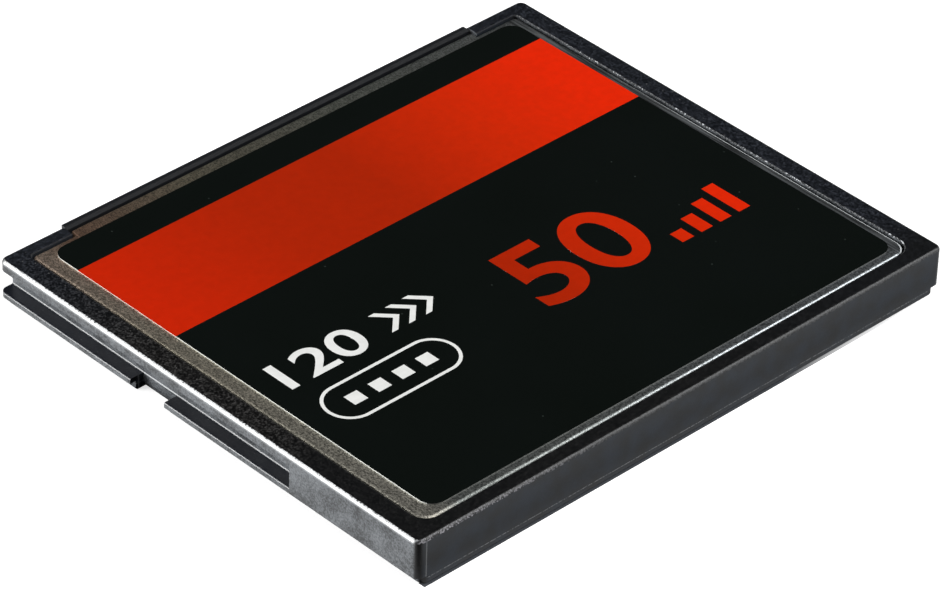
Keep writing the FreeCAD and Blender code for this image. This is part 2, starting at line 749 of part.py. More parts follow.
def socket_strip():
    """The moulded strip with two rows of holes, a lip along each face and an ear at each end."""
    top = TOP_SEAT
    bottom = BOTTOM_SEAT
    lip_floor = LIP_DEPTH + LIP_FLOOR_GAP
    trough_rear = TAB_FRONT - COVER_THICKNESS - COVER_GAP
    corners = [
        (SOCKET_REAR, bottom),
        (trough_rear, bottom),
        (trough_rear, BOTTOM_COVER_RECESS + lip_floor),
        (SOCKET_LIP_REAR, BOTTOM_COVER_RECESS + lip_floor),
        (SOCKET_LIP_REAR, SOCKET_LIP_BEVEL_HEIGHT),
        (SOCKET_LIP_REAR + SOCKET_LIP_BEVEL_LENGTH, 0),
        (SOCKET_FACE, 0),
        (SOCKET_FACE, CARD_HEIGHT),
        (SOCKET_LIP_REAR + SOCKET_LIP_BEVEL_LENGTH, CARD_HEIGHT),
        (SOCKET_LIP_REAR, CARD_HEIGHT - SOCKET_LIP_BEVEL_HEIGHT),
        (SOCKET_LIP_REAR, COVER_TOP - lip_floor),
        (trough_rear, COVER_TOP - lip_floor),
        (trough_rear, top),
        (SOCKET_REAR, top),
    ]
    section = [Vector(-SOCKET_X, y, z) for y, z in corners]
    body = Part.Face(Part.makePolygon(section + section[:1])).extrude(Vector(2 * SOCKET_X, 0, 0))
    body = body.cut(end_lip_notches())
    ear = block(
        SOCKET_X - COVER_GAP, SOCKET_X + EAR_REACH, SOCKET_REAR + EAR_SETBACK,
        SOCKET_REAR + EAR_SETBACK + EAR_LENGTH, MID_HEIGHT - EAR_HEIGHT / 2, MID_HEIGHT + EAR_HEIGHT / 2,
    )
    body = body.fuse(both_sides(ear))
    cuts = []
    for z, side in zip(row_levels(), (1, -1)):
        for x in way_places():
            cuts.extend(socket_hole(x, z, side))
    return body.cut(cuts).removeSplitter()


def end_lip_notches():
    """Room at the strip's two ends for the turned-down sides of the covers' tabs."""
    inner = TAB_X - COVER_THICKNESS - COVER_GAP
    lip_floor = LIP_DEPTH + LIP_FLOOR_GAP
    low_y = COVER_FRONT - COVER_THICKNESS - COVER_GAP
    outer = SOCKET_X + OVERSHOOT
    upper = block(inner, outer, low_y, SOCKET_LIP_REAR, COVER_TOP - lip_floor, CARD_HEIGHT)
    lower = block(inner, outer, low_y, SOCKET_LIP_REAR, 0, BOTTOM_COVER_RECESS + lip_floor)
    return both_sides(upper) + both_sides(lower)


def contact_row():
    """The upper row's contacts: a sprung beam in each hole and a tail bent down to the board."""
    middle = MID_HEIGHT + ROW_SPACING / 2
    level = middle + contact_rise()
    tip = SOCKET_FACE - CONTACT_TIP_SETBACK
    tail_top = SOCKET_REAR - CONTACT_TAIL_REACH
    foot_level = BOARD_TOP + CONTACT_THICKNESS / 2
    line = [
        (tip, level - CONTACT_BEAM_DROP),
        (tip - CONTACT_BEAM_LENGTH, level),
        (tail_top, level),
        (tail_top - CONTACT_TAIL_SLOPE, foot_level),
        (CONTACT_FEET_REAR, foot_level),
    ]
    return Part.makeCompound([ribbon(line, CONTACT_THICKNESS, CONTACT_WIDTH, x) for x in way_places()])


# Circuit board and what is on it

def circuit_board():
    corners = bevelled_back(BOARD_X, BOARD_BACK, BOARD_FRONT, BOARD_CORNER_BEVEL)
    return plate(corners, BOARD_BOTTOM, BOARD_TOP)


def room_above_board(cover_gap):
    """The height of a part that stands off the board and ends a small gap under the cover."""
    return TOP_SEAT - cover_gap - BOARD_TOP - CHIP_STANDOFF


def flash_middle():
    """The middle in plan of both flash chips, one on each face of the board near its left edge."""
    x = -BOARD_X + FLASH_EDGE_INSET + FLASH_WIDTH / 2
    front = CAPACITOR_MIDDLE - CAPACITOR_LENGTH / 2 - FLASH_CAPACITOR_GAP - LEAD_SPAN
    return x, front - FLASH_LENGTH / 2


def chip_body(x, y, width, length, height):
    """A moulded chip body with a shallow first-pin mark near one corner of its top."""
    base = BOARD_TOP + CHIP_STANDOFF
    top = base + height
    mark_middle = (x - width / 2 + PIN_MARK_INSET, y + length / 2 - PIN_MARK_INSET)
    mark = block_about(mark_middle, PIN_MARK_SIZE, PIN_MARK_SIZE, top - PIN_MARK_DEPTH, top)
    return block_about((x, y), width, length, base, top).cut(mark)


def lead(reach, body_height, width, x):
    """One gull-wing lead that leaves a chip's +Y side, `reach` from the chip's middle."""
    shoulder_level = BOARD_TOP + CHIP_STANDOFF + body_height / 2
    foot_level = BOARD_TOP + LEAD_THICKNESS / 2
    line = [
        (reach, shoulder_level),
        (reach + LEAD_SLOPE, foot_level),
        (reach + LEAD_SPAN, foot_level),
    ]
    return ribbon(line, LEAD_THICKNESS, width, x, upright_start=True)


def lead_rows(turns, count, pitch, width, reach, body_height, x_middle, y_middle):
    """Rows of leads on the sides that the turns name."""
    leads = []
    for turn in turns:
        for offset in spread(count, pitch):
            leads.append(placed(lead(reach, body_height, width, offset), x_middle, y_middle, turn))
    return Part.makeCompound(leads)


def flash_chip():
    """The flash chip on the board's upper face."""
    x, y = flash_middle()
    return chip_body(x, y, FLASH_WIDTH, FLASH_LENGTH, room_above_board(CHIP_COVER_GAP))


def flash_leads():
    """That chip's leads, at its two ends."""
    x, y = flash_middle()
    count = int((FLASH_WIDTH - FLASH_LEAD_WIDTH) / FLASH_LEAD_PITCH) + 1
    return lead_rows(
        (0, 180), count, FLASH_LEAD_PITCH, FLASH_LEAD_WIDTH, FLASH_LENGTH / 2,
        room_above_board(CHIP_COVER_GAP), x, y,
    )


def controller_middle():
    """The controller lies near the board's right edge, a little in front of its back edge."""
    x = BOARD_X - CONTROLLER_EDGE_INSET - LEAD_SPAN - CONTROLLER_SIZE / 2
    return x, BOARD_BACK + CONTROLLER_BACK_INSET + CONTROLLER_SIZE / 2


def controller_chip():
    x, y = controller_middle()
    return chip_body(x, y, CONTROLLER_SIZE, CONTROLLER_SIZE, room_above_board(CONTROLLER_COVER_GAP))


def controller_leads():
    x, y = controller_middle()
    return lead_rows(
        (0, 90, 180, 270), CONTROLLER_LEADS_PER_SIDE, CONTROLLER_LEAD_PITCH, CONTROLLER_LEAD_WIDTH,
        CONTROLLER_SIZE / 2, room_above_board(CONTROLLER_COVER_GAP), x, y,
    )


def chip_component(x, y, length, width, height):
    """A two-terminal part lying along Y on the board's top: its body, then its two end caps."""
    cap = length * TERMINAL_SHARE
    low = y - length / 2
    high = y + length / 2
    top = BOARD_TOP + height
    body = block(x - width / 2, x + width / 2, low + cap, high - cap, BOARD_TOP, top)
    caps = [
        block(x - width / 2, x + width / 2, low, low + cap, BOARD_TOP, top),
        block(x - width / 2, x + width / 2, high - cap, high, BOARD_TOP, top),
    ]
    return body, caps


def capacitors():
    """A row of ceramic capacitors on the board's top, behind the socket strip's tails."""
    size = (CAPACITOR_LENGTH, CAPACITOR_WIDTH, CAPACITOR_HEIGHT)
    places = spread(CAPACITOR_COUNT, CAPACITOR_PITCH)
    return [chip_component(x, CAPACITOR_MIDDLE, *size) for x in places]


def resistors():
    """A row of resistors on the board's top, behind the controller."""
    x_middle, _ = controller_middle()
    y = BOARD_BACK + RESISTOR_FROM_BACK
    size = (RESISTOR_LENGTH, RESISTOR_WIDTH, RESISTOR_HEIGHT)
    return [chip_component(x_middle + x, y, *size) for x in spread(RESISTOR_COUNT, RESISTOR_PITCH)]


def bodies(parts):
    return Part.makeCompound([body for body, _ in parts])


def terminals(parts):
    return Part.makeCompound([cap for _, caps in parts for cap in caps])


def oscillator_middle():
    """The oscillator stands in front of the controller's left half."""
    x, y = controller_middle()
    y += CONTROLLER_SIZE / 2 + LEAD_SPAN + OSCILLATOR_SPACING + OSCILLATOR_WIDTH / 2
    return x - OSCILLATOR_OFFSET, y


def oscillator_base():
    top = BOARD_TOP + OSCILLATOR_BASE_HEIGHT
    return block_about(oscillator_middle(), OSCILLATOR_LENGTH, OSCILLATOR_WIDTH, BOARD_TOP, top)


def oscillator_lid():
    length = OSCILLATOR_LENGTH - 2 * OSCILLATOR_LID_INSET
    width = OSCILLATOR_WIDTH - 2 * OSCILLATOR_LID_INSET
    base = BOARD_TOP + OSCILLATOR_BASE_HEIGHT
    return block_about(oscillator_middle(), length, width, base, base + OSCILLATOR_LID_HEIGHT)


def regulator_middle():
    x, y = oscillator_middle()
    return x + REGULATOR_SPACING, y


def voltage_regulator():
    base = BOARD_TOP + CHIP_STANDOFF
    top = base + room_above_board(REGULATOR_COVER_GAP)
    return block_about(regulator_middle(), REGULATOR_LENGTH, REGULATOR_WIDTH, base, top)


def regulator_leads():
    """A full row of leads on the regulator's back side and two outer ones on its front side."""
    x, y = regulator_middle()
    height = room_above_board(REGULATOR_COVER_GAP)
    back_row = spread(REGULATOR_BACK_COUNT, REGULATOR_LEAD_PITCH)
    front_pitch = REGULATOR_LEAD_PITCH * (REGULATOR_BACK_COUNT - 1)
    front_row = spread(REGULATOR_FRONT_COUNT, front_pitch)
    leads = []
    for turn, row in ((180, back_row), (0, front_row)):
        for offset in row:
            shape = lead(REGULATOR_WIDTH / 2, height, REGULATOR_LEAD_WIDTH, offset)
            leads.append(placed(shape, x, y, turn))
    return Part.makeCompound(leads)


def tantalum_middles():
    """The storage capacitors' places under the board, in front of the controller's half."""
    x_middle, _ = controller_middle()
    y = BOARD_FRONT - TANTALUM_FROM_FRONT
    return [(x_middle + x, y) for x in spread(TANTALUM_COUNT, TANTALUM_SPACING)]


def tantalum_bodies():
    """Moulded storage capacitors, hanging under the board."""
    low = FILM_TOP + TANTALUM_FILM_GAP
    high = BOARD_BOTTOM - TANTALUM_STRAP_THICKNESS
    return Part.makeCompound([
        block_about(middle, TANTALUM_LENGTH, TANTALUM_WIDTH, low, high) for middle in tantalum_middles()
    ])


def tantalum_straps():
    """The flat terminals between those capacitors and the board."""
    offset = (TANTALUM_LENGTH - TANTALUM_STRAP) / 2
    low = BOARD_BOTTOM - TANTALUM_STRAP_THICKNESS
    straps = []
    for x, y in tantalum_middles():
        for strap_x in (x - offset, x + offset):
            strap = block_about((strap_x, y), TANTALUM_STRAP, TANTALUM_STRAP_WIDTH, low, BOARD_BOTTOM)
            straps.append(strap)
    return Part.makeCompound(straps)


def build():
    """Every piece of the card by its node name."""
    return {
        "frame": frame(),
        "top_cover": top_cover(),
        "bottom_cover": bottom_cover(),
        "insulating_film": insulating_film(),
        "label_sheet": label_sheet(),
        "label_band": label_band(),
        "label_white_marks": label_white_marks(),
        "label_orange_marks": label_orange_marks(),
        "socket_strip": socket_strip(),
        "contacts_upper_row": contact_row(),
        "contacts_lower_row": turned_over(contact_row()),
        "circuit_board": circuit_board(),
        "flash_chip_upper": flash_chip(),
        "flash_chip_upper_leads": flash_leads(),
        "flash_chip_lower": turned_over(flash_chip()),
        "flash_chip_lower_leads": turned_over(flash_leads()),
        "controller_chip": controller_chip(),
        "controller_leads": controller_leads(),
        "capacitor_bodies": bodies(capacitors()),
        "capacitor_terminals": terminals(capacitors()),
        "resistor_bodies": bodies(resistors()),
        "resistor_terminals": terminals(resistors()),
        "oscillator_base": oscillator_base(),
        "oscillator_lid": oscillator_lid(),
        "voltage_regulator": voltage_regulator(),
        "regulator_leads": regulator_leads(),
        "tantalum_bodies": tantalum_bodies(),
        "tantalum_straps": tantalum_straps(),
    }


os.makedirs("parts", exist_ok=True)
for name, shape in build().items():
    shape.exportStep(f"parts/{name}.step")
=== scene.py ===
import math
from types import SimpleNamespace

import bmesh
import bpy
from mathutils import Matrix, Vector


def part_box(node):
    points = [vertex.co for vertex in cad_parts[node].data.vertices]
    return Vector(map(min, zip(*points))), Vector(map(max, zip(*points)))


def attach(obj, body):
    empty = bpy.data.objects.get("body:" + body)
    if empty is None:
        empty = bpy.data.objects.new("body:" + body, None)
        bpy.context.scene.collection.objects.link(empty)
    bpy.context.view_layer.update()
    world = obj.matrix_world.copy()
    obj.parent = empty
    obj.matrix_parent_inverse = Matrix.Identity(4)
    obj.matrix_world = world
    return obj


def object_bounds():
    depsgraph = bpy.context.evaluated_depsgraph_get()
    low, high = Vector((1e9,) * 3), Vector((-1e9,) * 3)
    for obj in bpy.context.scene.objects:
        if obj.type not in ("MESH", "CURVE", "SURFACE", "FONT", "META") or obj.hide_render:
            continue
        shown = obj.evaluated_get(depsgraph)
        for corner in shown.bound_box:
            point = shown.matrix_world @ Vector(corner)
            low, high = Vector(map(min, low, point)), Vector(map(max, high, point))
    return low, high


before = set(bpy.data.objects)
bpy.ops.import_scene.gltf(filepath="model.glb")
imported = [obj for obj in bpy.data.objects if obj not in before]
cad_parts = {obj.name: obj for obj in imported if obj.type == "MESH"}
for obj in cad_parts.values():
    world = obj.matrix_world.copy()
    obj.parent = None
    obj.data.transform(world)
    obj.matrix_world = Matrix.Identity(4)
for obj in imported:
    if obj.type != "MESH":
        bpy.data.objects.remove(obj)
cad_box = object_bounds()

MM = 0.001
CARD_LOW, CARD_HIGH = cad_box
LABEL_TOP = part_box("label_sheet")[1].z

# The camera, from the photograph's viewing angle.
CAMERA_AZIMUTH = -44.52
CAMERA_ELEVATION = 35.74
CAMERA_ROLL = 1.74
CAMERA_DISTANCE = 315.6 * MM
CAMERA_AIM = Vector((-1.54, -1.54, 1.65)) * MM
CAMERA_CLIP_START = 0.01
FOCAL_LENGTH_IN_PIXELS = 5340
PICTURE_WIDTH_IN_PIXELS = 942
SENSOR_WIDTH = 36.0

# The lamps: where each stands as seen from the card, how far, its width and its radiance.
LOW_DIRECTION = Vector((-0.79, 0.56, 0.24))
LOW_DISTANCE = 0.62
LOW_WIDTH = 0.28
LOW_RADIANCE = 20.0
MAIN_DIRECTION = Vector((0.50, -0.60, 0.75))
MAIN_DISTANCE = 0.62
MAIN_WIDTH = 0.46
MAIN_RADIANCE = 5.9

# The paper floor, and how bright it is beyond its lit colour, as the camera sees it and as gloss
# mirrors it. Its front, left and right are the camera's, so its right lies beyond the card's back edge.
# Of each pair of places, here and below, the change starts at the first and ends at the last.
FLOOR_HALF_WIDTH = 3.0
FLOOR_DROP = 0.02 * MM
FLOOR_GLOW = 0.7
MIRRORED_LEFT = 1.0
MIRRORED_FRONT = 0.08
# Close beside the card's back edge, the darkest stops are a painted shadow in what gloss mirrors.
MIRRORED_RIGHT = [(0.0, "101010"), (0.13, "101010"), (0.16, "7C7C7C"), (1.0, "D5D5D5")]
MIRRORED_RIGHT_REACH = 3.3 * MM
FRONT_TO_RIGHT = (-22.5 * MM, -20.0 * MM)
FRONT_TO_LEFT = (-19.5 * MM, -17.5 * MM)

# A painted contact shadow: a dark line on the floor by the card's back edge, fading out towards the right.
CONTACT_SHADOW_LEFT = -20.9 * MM
CONTACT_SHADOW_FADE = (8.0 * MM, 20.0 * MM)
CONTACT_SHADOW_Y = -18.0 * MM
CONTACT_SHADOW_HALF_WIDTH = 0.26 * MM

# The patterns of each finish: about how far apart their grains, flecks or waves are. A pixel of the
# picture spans 0.06 mm. The real grain of the plastic and of the rolled steel is taken to be finer than
# that, so both are drawn as coarse as they need to show.
PLASTIC_GRAIN = 0.12 * MM
PLASTIC_PITS = 0.06 * MM
PLASTIC_CLOUDS = 1.4 * MM
PLASTIC_FLECKS = 0.5 * MM
STEEL_GRAIN = 0.06 * MM
STEEL_STREAKS = 0.16 * MM
LABEL_CLOUDS = 9.0 * MM
LABEL_DUST = 1.7 * MM
LABEL_WAVES = 1.6 * MM
INK_MOTTLE = 0.5 * MM
MOULDED_GRAIN = 0.08 * MM
PLATED_PATCHES = 0.4 * MM
PLATED_PITS = 0.05 * MM
BOARD_TRACKS = 1.6 * MM
BOARD_WEAVE = 0.6 * MM
FILM_CLOUDS = 3.0 * MM

# How deep the relief of each finish is.
PLASTIC_DEPTH = 0.002 * MM
STEEL_DEPTH = 0.004 * MM
LABEL_DEPTH = 0.002 * MM
MOULDED_DEPTH = 0.004 * MM
PLATED_DEPTH = 0.001 * MM
BOARD_DEPTH = 0.003 * MM
FILM_DEPTH = 0.010 * MM

# Where the plastic changes its shade: by the distance from its near upper corner, by height and by Y.
NEAR_CORNER = Vector((CARD_LOW.x, CARD_LOW.y, CARD_HIGH.z))
NAVY_FROM_CORNER = (24 * MM, 36 * MM)
PLAIN_FROM_CORNER = (13 * MM, 9 * MM)
# Over this distance from the near corner, the painted highlight on the back edge turns from grainy to plain
# grey.
GRAINY_HIGHLIGHT_FROM_CORNER = (2 * MM, 15 * MM)
BLUE_RAIL_HEIGHT = (1.3 * MM, 1.2 * MM)
# The height over which a painted highlight pales the top of the left side.
SIDE_HIGHLIGHT_HEIGHT = (2.94 * MM, 3.12 * MM)
PLAIN_BACK_Y = (-13 * MM, -17 * MM)

# Where the plastic counts as its left side, as that side's edge with the painted highlight, as the top, as
# the far end, or as lying on the right of the cover's window.
LEFT_SIDE_X = CARD_LOW.x + 0.1 * MM
LEFT_EDGE_X = (CARD_LOW.x + 0.5 * MM, CARD_LOW.x + 0.3 * MM)
TOP_EDGE_Z = 2.85 * MM
FAR_EDGE_Y = 16.5 * MM
WINDOW_RIGHT_X = 16.4 * MM

# The fine painted highlight lines on the plastic, each with half its width.
END_LINE_Z = 0.44 * MM
END_LINE_HALF_WIDTH = 0.03 * MM
CORNER_LINE_X = -20.75 * MM
CORNER_LINE_HALF_WIDTH = 0.04 * MM
GROOVE_LINE_Z = 1.03 * MM
GROOVE_LINE_HALF_WIDTH = 0.05 * MM
GROOVE_LINE_WITHIN_X = 20.7 * MM
RAIL_LINE_Z = 0.96 * MM
RAIL_LINE_HALF_WIDTH = 0.04 * MM
RAIL_LINE_BEYOND_Y = -7.58 * MM

# Where the cover's steel changes: its bronze corner, its strips, its bends and its right crest's painted
# highlight.
BRONZE_CORNER = Vector((-20, 17, 3)) * MM
BRONZE_REACH = 42 * MM
# Across these places the left strip is lightened as a painted reflection.
LEFT_STRIP_X = (-17 * MM, -19 * MM)
RIGHT_STRIP_X = (18.9 * MM, 19.1 * MM)
BURNISHED_X = (-14 * MM, 6 * MM)
CREST_Y = (9 * MM, 1 * MM)

# The stretch across the label over which the inks' colour ramp runs.
INK_RAMP_X = (-19 * MM, 19 * MM)

# The printed numbers: their digits, the place and size of their box on the label, and how bold.
PRINT_THICKNESS = 0.008 * MM
BIG_NUMBER = "50"
BIG_NUMBER_LOW = Vector((-0.45, -7.35)) * MM
BIG_NUMBER_HIGH = Vector((9.05, -1.2)) * MM
BIG_NUMBER_BOLDNESS = 0.014
SMALL_NUMBER = "120"
SMALL_NUMBER_LOW = Vector((-17.1, -3.1)) * MM
SMALL_NUMBER_HIGH = Vector((-10.6, -0.45)) * MM
SMALL_NUMBER_BOLDNESS = 0.012

# At the font's own size, before a number is fitted to its box: half its thickness, and how near two
# points count as one.
DRAWN_HALF_THICKNESS = 0.5
SAME_POINT = 1e-5


def linear(code):
    """A colour written as an sRGB hex code, as linear red, green, blue and alpha."""
    shares = [int(code[i:i + 2], 16) / 255 for i in (0, 2, 4)]
    return [s / 12.92 if s <= 0.04045 else ((s + 0.055) / 1.055) ** 2.4 for s in shares] + [1.0]


def add_node(tree, kind, inputs=None, stops=(), **settings):
    """A node with its settings and, on a colour ramp, its stops. Each input takes a constant, an output,
    or a node, which stands for the first output that it has in use."""
    node = tree.nodes.new(kind)
    for name, value in settings.items():
        setattr(node, name, value)
    for _ in stops[2:]:
        node.color_ramp.elements.new(0.5)
    for i, (position, code) in enumerate(stops):
        node.color_ramp.elements[i].position = position
        node.color_ramp.elements[i].color = linear(code)
    in_use = {s.name: s for s in reversed(node.inputs) if s.enabled}
    for key, value in (inputs or {}).items():
        socket = node.inputs[key] if isinstance(key, int) else in_use[key]
        if isinstance(value, bpy.types.Node):
            value = next(s for s in value.outputs if s.enabled)
        if isinstance(value, bpy.types.NodeSocket):
            tree.links.new(value, socket)
        else:
            socket.default_value = value
    return node


def start_material(name):
    """An empty material, its tree, and the piece's own coordinates."""
    material = bpy.data.materials.new(name)
    material.use_nodes = True
    tree = material.node_tree
    tree.nodes.clear()
    return material, tree, add_node(tree, "ShaderNodeTexCoord").outputs["Object"]


def finish_material(material, inputs):
    """The material with its one shader, which takes these inputs."""
    shader = add_node(material.node_tree, "ShaderNodeBsdfPrincipled", inputs)
    add_node(material.node_tree, "ShaderNodeOutputMaterial", {"Surface": shader})
    return material


def read_plastic(tree, place):
    """What the plastic's finish goes by: where a point lies, which way it faces, and the patterns."""
    normal = add_node(tree, "ShaderNodeNewGeometry").outputs["Normal"]
    turned = add_node(tree, "ShaderNodeVectorMath", {0: normal}, operation="ABSOLUTE")
    folded = add_node(tree, "ShaderNodeVectorMath", {0: place}, operation="ABSOLUTE")
    on = SimpleNamespace()
    on.at = add_node(tree, "ShaderNodeSeparateXYZ", {"Vector": place}).outputs
    on.reach = add_node(tree, "ShaderNodeSeparateXYZ", {"Vector": folded}).outputs
    on.towards = add_node(tree, "ShaderNodeSeparateXYZ", {"Vector": normal}).outputs
    on.facing = add_node(tree, "ShaderNodeSeparateXYZ", {"Vector": turned}).outputs
    on.corner = add_node(tree, "ShaderNodeVectorMath", {0: place, 1: NEAR_CORNER}, operation="DISTANCE")

    on.grain = add_node(tree, "ShaderNodeTexNoise", {"Vector": place, "Scale": 1 / PLASTIC_GRAIN,
                                                     "Detail": 4.0})
    on.pits = add_node(tree, "ShaderNodeTexNoise", {"Vector": place, "Scale": 1 / PLASTIC_PITS})
    on.clouds = add_node(tree, "ShaderNodeTexNoise", {"Vector": place, "Scale": 1 / PLASTIC_CLOUDS})
    on.flecks = add_node(tree, "ShaderNodeTexVoronoi", {"Vector": place, "Scale": 1 / PLASTIC_FLECKS})

    on.side = add_node(tree, "ShaderNodeMapRange", {
        "Value": on.facing["X"], "From Min": 0.9, "From Max": 1.0,
    })
    on.edge = add_node(tree, "ShaderNodeMath", {0: on.facing["Z"], 1: 0.53, 2: 0.39}, operation="COMPARE")
    on.left = add_node(tree, "ShaderNodeMath", {0: on.at["X"], 1: LEFT_SIDE_X}, operation="LESS_THAN")
    on.high = add_node(tree, "ShaderNodeMath", {0: on.at["Z"], 1: TOP_EDGE_Z}, operation="GREATER_THAN")
    far_end = add_node(tree, "ShaderNodeMath", {0: on.at["Y"], 1: FAR_EDGE_Y}, operation="GREATER_THAN")
    backward = add_node(tree, "ShaderNodeMath", {0: on.towards["Y"], 1: -0.4}, operation="LESS_THAN")
    on.sheltered = add_node(tree, "ShaderNodeMath", {0: far_end, 1: backward}, operation="MULTIPLY")
    return on


def black_body(tree, on):
    """Grained black with glass flecks: brownish near the viewer, navy further off, bluer on the rails,
    and plain along the back rim and around the near corner."""
    brown = add_node(tree, "ShaderNodeValToRGB", {"Fac": on.grain},
                     [(0.40, "000000"), (0.50, "0E0D0D"), (0.66, "3E3D3C")])
    navy = add_node(tree, "ShaderNodeValToRGB", {"Fac": on.grain},
                    [(0.38, "000308"), (0.50, "12151B"), (0.68, "31353D")])
    far = add_node(tree, "ShaderNodeMapRange", {
        "Value": on.corner, "From Min": NAVY_FROM_CORNER[0], "From Max": NAVY_FROM_CORNER[1],
    })
    black = add_node(tree, "ShaderNodeMix", {"Factor": far, "A": brown, "B": navy}, data_type="RGBA")
    low = add_node(tree, "ShaderNodeMapRange", {
        "Value": on.at["Z"], "From Min": BLUE_RAIL_HEIGHT[0], "From Max": BLUE_RAIL_HEIGHT[1],
        "To Max": 0.5,
    })
    black = add_node(tree, "ShaderNodeMix", {"Factor": low, "A": black, "B": linear("1E2432")},
                     data_type="RGBA")
    fleck = add_node(tree, "ShaderNodeMapRange", {"Value": on.flecks, "From Min": 0.09, "From Max": 0.05})
    black = add_node(tree, "ShaderNodeMix", {"Factor": fleck, "A": black, "B": linear("6A6A68")},
                     data_type="RGBA")
    back = add_node(tree, "ShaderNodeMapRange", {
        "Value": on.at["Y"], "From Min": PLAIN_BACK_Y[0], "From Max": PLAIN_BACK_Y[1],
    })
    near = add_node(tree, "ShaderNodeMapRange", {
        "Value": on.corner, "From Min": PLAIN_FROM_CORNER[0], "From Max": PLAIN_FROM_CORNER[1],
    })
    plain = add_node(tree, "ShaderNodeMath", {0: back, 1: near}, operation="MAXIMUM")
    plainly = add_node(tree, "ShaderNodeMath", {0: plain, 1: 0.85}, operation="MULTIPLY")
    return add_node(tree, "ShaderNodeMix", {"Factor": plainly, "A": black, "B": linear("050607")},
                    data_type="RGBA")


def hazy_ends(tree, on, body):
    """The end faces are a hazy blue black, with a broken painted highlight line low down and an upright
    one beside the left corner."""
    end = add_node(tree, "ShaderNodeMapRange", {"Value": on.facing["Y"], "From Min": 0.9, "From Max": 1.0})
    haze = add_node(tree, "ShaderNodeValToRGB", {"Fac": on.clouds}, [(0.36, "01060C"), (0.64, "0C1824")])
    # Painted highlights: a broken line low down and an upright one by the left corner.
    low_line = add_node(tree, "ShaderNodeMath", {0: on.at["Z"], 1: END_LINE_Z, 2: END_LINE_HALF_WIDTH},
                        operation="COMPARE")
    broken = add_node(tree, "ShaderNodeMapRange", {"Value": on.grain, "From Min": 0.43, "From Max": 0.53})
    low_line = add_node(tree, "ShaderNodeMath", {0: low_line, 1: broken}, operation="MULTIPLY")
    corner_line = add_node(tree, "ShaderNodeMath", {
        0: on.at["X"], 1: CORNER_LINE_X, 2: CORNER_LINE_HALF_WIDTH,
    }, operation="COMPARE")
    corner_line = add_node(tree, "ShaderNodeMath", {0: corner_line, 1: 0.6}, operation="MULTIPLY")
    line = add_node(tree, "ShaderNodeMath", {0: low_line, 1: corner_line}, operation="MAXIMUM")
    lined = add_node(tree, "ShaderNodeMix", {"Factor": line, "A": haze, "B": linear("6A6C6E")},
                     data_type="RGBA")
    return add_node(tree, "ShaderNodeMix", {"Factor": end, "A": body, "B": lined}, data_type="RGBA")


def painted_light_sides(tree, on, body):
    """The sides are painted a cloudy grey as painted light, palest along the top of the left one as a
    painted highlight.
    """
    side_mottle = add_node(tree, "ShaderNodeMix", {"Factor": 0.4, "A": on.grain, "B": on.clouds})
    # Painted light: the sides take a cloudy grey much lighter than the black body.
    side_light = add_node(tree, "ShaderNodeValToRGB", {"Fac": side_mottle}, [(0.38, "1E2124"), (0.62, "6C7074")])
    # A painted highlight pales the top of the left side.
    side_highlight = add_node(tree, "ShaderNodeMapRange", {
        "Value": on.at["Z"], "From Min": SIDE_HIGHLIGHT_HEIGHT[0], "From Max": SIDE_HIGHLIGHT_HEIGHT[1],
        "To Max": 0.6,
    })
    side_highlight = add_node(tree, "ShaderNodeMath", {0: side_highlight, 1: on.left}, operation="MULTIPLY")
    side_light = add_node(tree, "ShaderNodeMix", {"Factor": side_highlight, "A": side_light, "B": linear("C4C6C8")},
                      data_type="RGBA")
    return add_node(tree, "ShaderNodeMix", {"Factor": on.side, "A": body, "B": side_light}, data_type="RGBA")


def painted_edge_highlights(tree, on, body):
    """Painted highlights on the rounded edges: grey, grainy on the back one near the near corner, and
    almost white on the upper left one. The far edge that faces the window is left without one."""
    outermost = add_node(tree, "ShaderNodeMapRange", {
        "Value": on.at["X"], "From Min": LEFT_EDGE_X[0], "From Max": LEFT_EDGE_X[1],
    })
    straight = add_node(tree, "ShaderNodeMapRange", {
        "Value": on.facing["Y"], "From Min": 0.35, "From Max": 0.1,
    })
    upper_left = add_node(tree, "ShaderNodeMath", {0: outermost, 1: on.high}, operation="MULTIPLY")
    upper_left = add_node(tree, "ShaderNodeMath", {0: upper_left, 1: straight}, operation="MULTIPLY")
    shoulder = add_node(tree, "ShaderNodeMapRange", {
        "Value": on.facing["Z"], "From Min": 0.95, "From Max": 0.6, "To Max": 0.25,
    })
    highlight_pattern = add_node(tree, "ShaderNodeMath", {0: shoulder, 1: upper_left, 2: on.grain},
                       operation="MULTIPLY_ADD")
    highlight_cover = add_node(tree, "ShaderNodeMapRange", {
        "Value": highlight_pattern, "From Min": 0.44, "From Max": 0.58, "To Min": 0.1,
    })
    # No painted highlight on the far edge that faces the window.
    lit_edge = add_node(tree, "ShaderNodeMath", {0: on.edge, 1: on.sheltered}, operation="SUBTRACT",
                       use_clamp=True)
    highlight_amount = add_node(tree, "ShaderNodeMath", {0: lit_edge, 1: highlight_cover}, operation="MULTIPLY")
    # The painted highlight on the back edge: grainy near the near corner, plain grey further off.
    back_edge_highlight = add_node(tree, "ShaderNodeValToRGB", {"Fac": on.grain}, [(0.44, "28292B"), (0.60, "8E8C92")])
    far_from_corner = add_node(tree, "ShaderNodeMapRange", {
        "Value": on.corner, "From Min": GRAINY_HIGHLIGHT_FROM_CORNER[0], "From Max": GRAINY_HIGHLIGHT_FROM_CORNER[1],
    })
    back_edge_highlight = add_node(tree, "ShaderNodeMix", {"Factor": far_from_corner, "A": back_edge_highlight, "B": linear("38393B")},
                     data_type="RGBA")
    dull = add_node(tree, "ShaderNodeMix", {
        "Factor": on.facing["Y"], "A": linear("5E6062"), "B": back_edge_highlight,
    }, data_type="RGBA")
    pale = add_node(tree, "ShaderNodeMix", {"Factor": upper_left, "A": dull, "B": linear("DCDEDF")},
                    data_type="RGBA")
    return add_node(tree, "ShaderNodeMix", {"Factor": highlight_amount, "A": body, "B": pale}, data_type="RGBA")


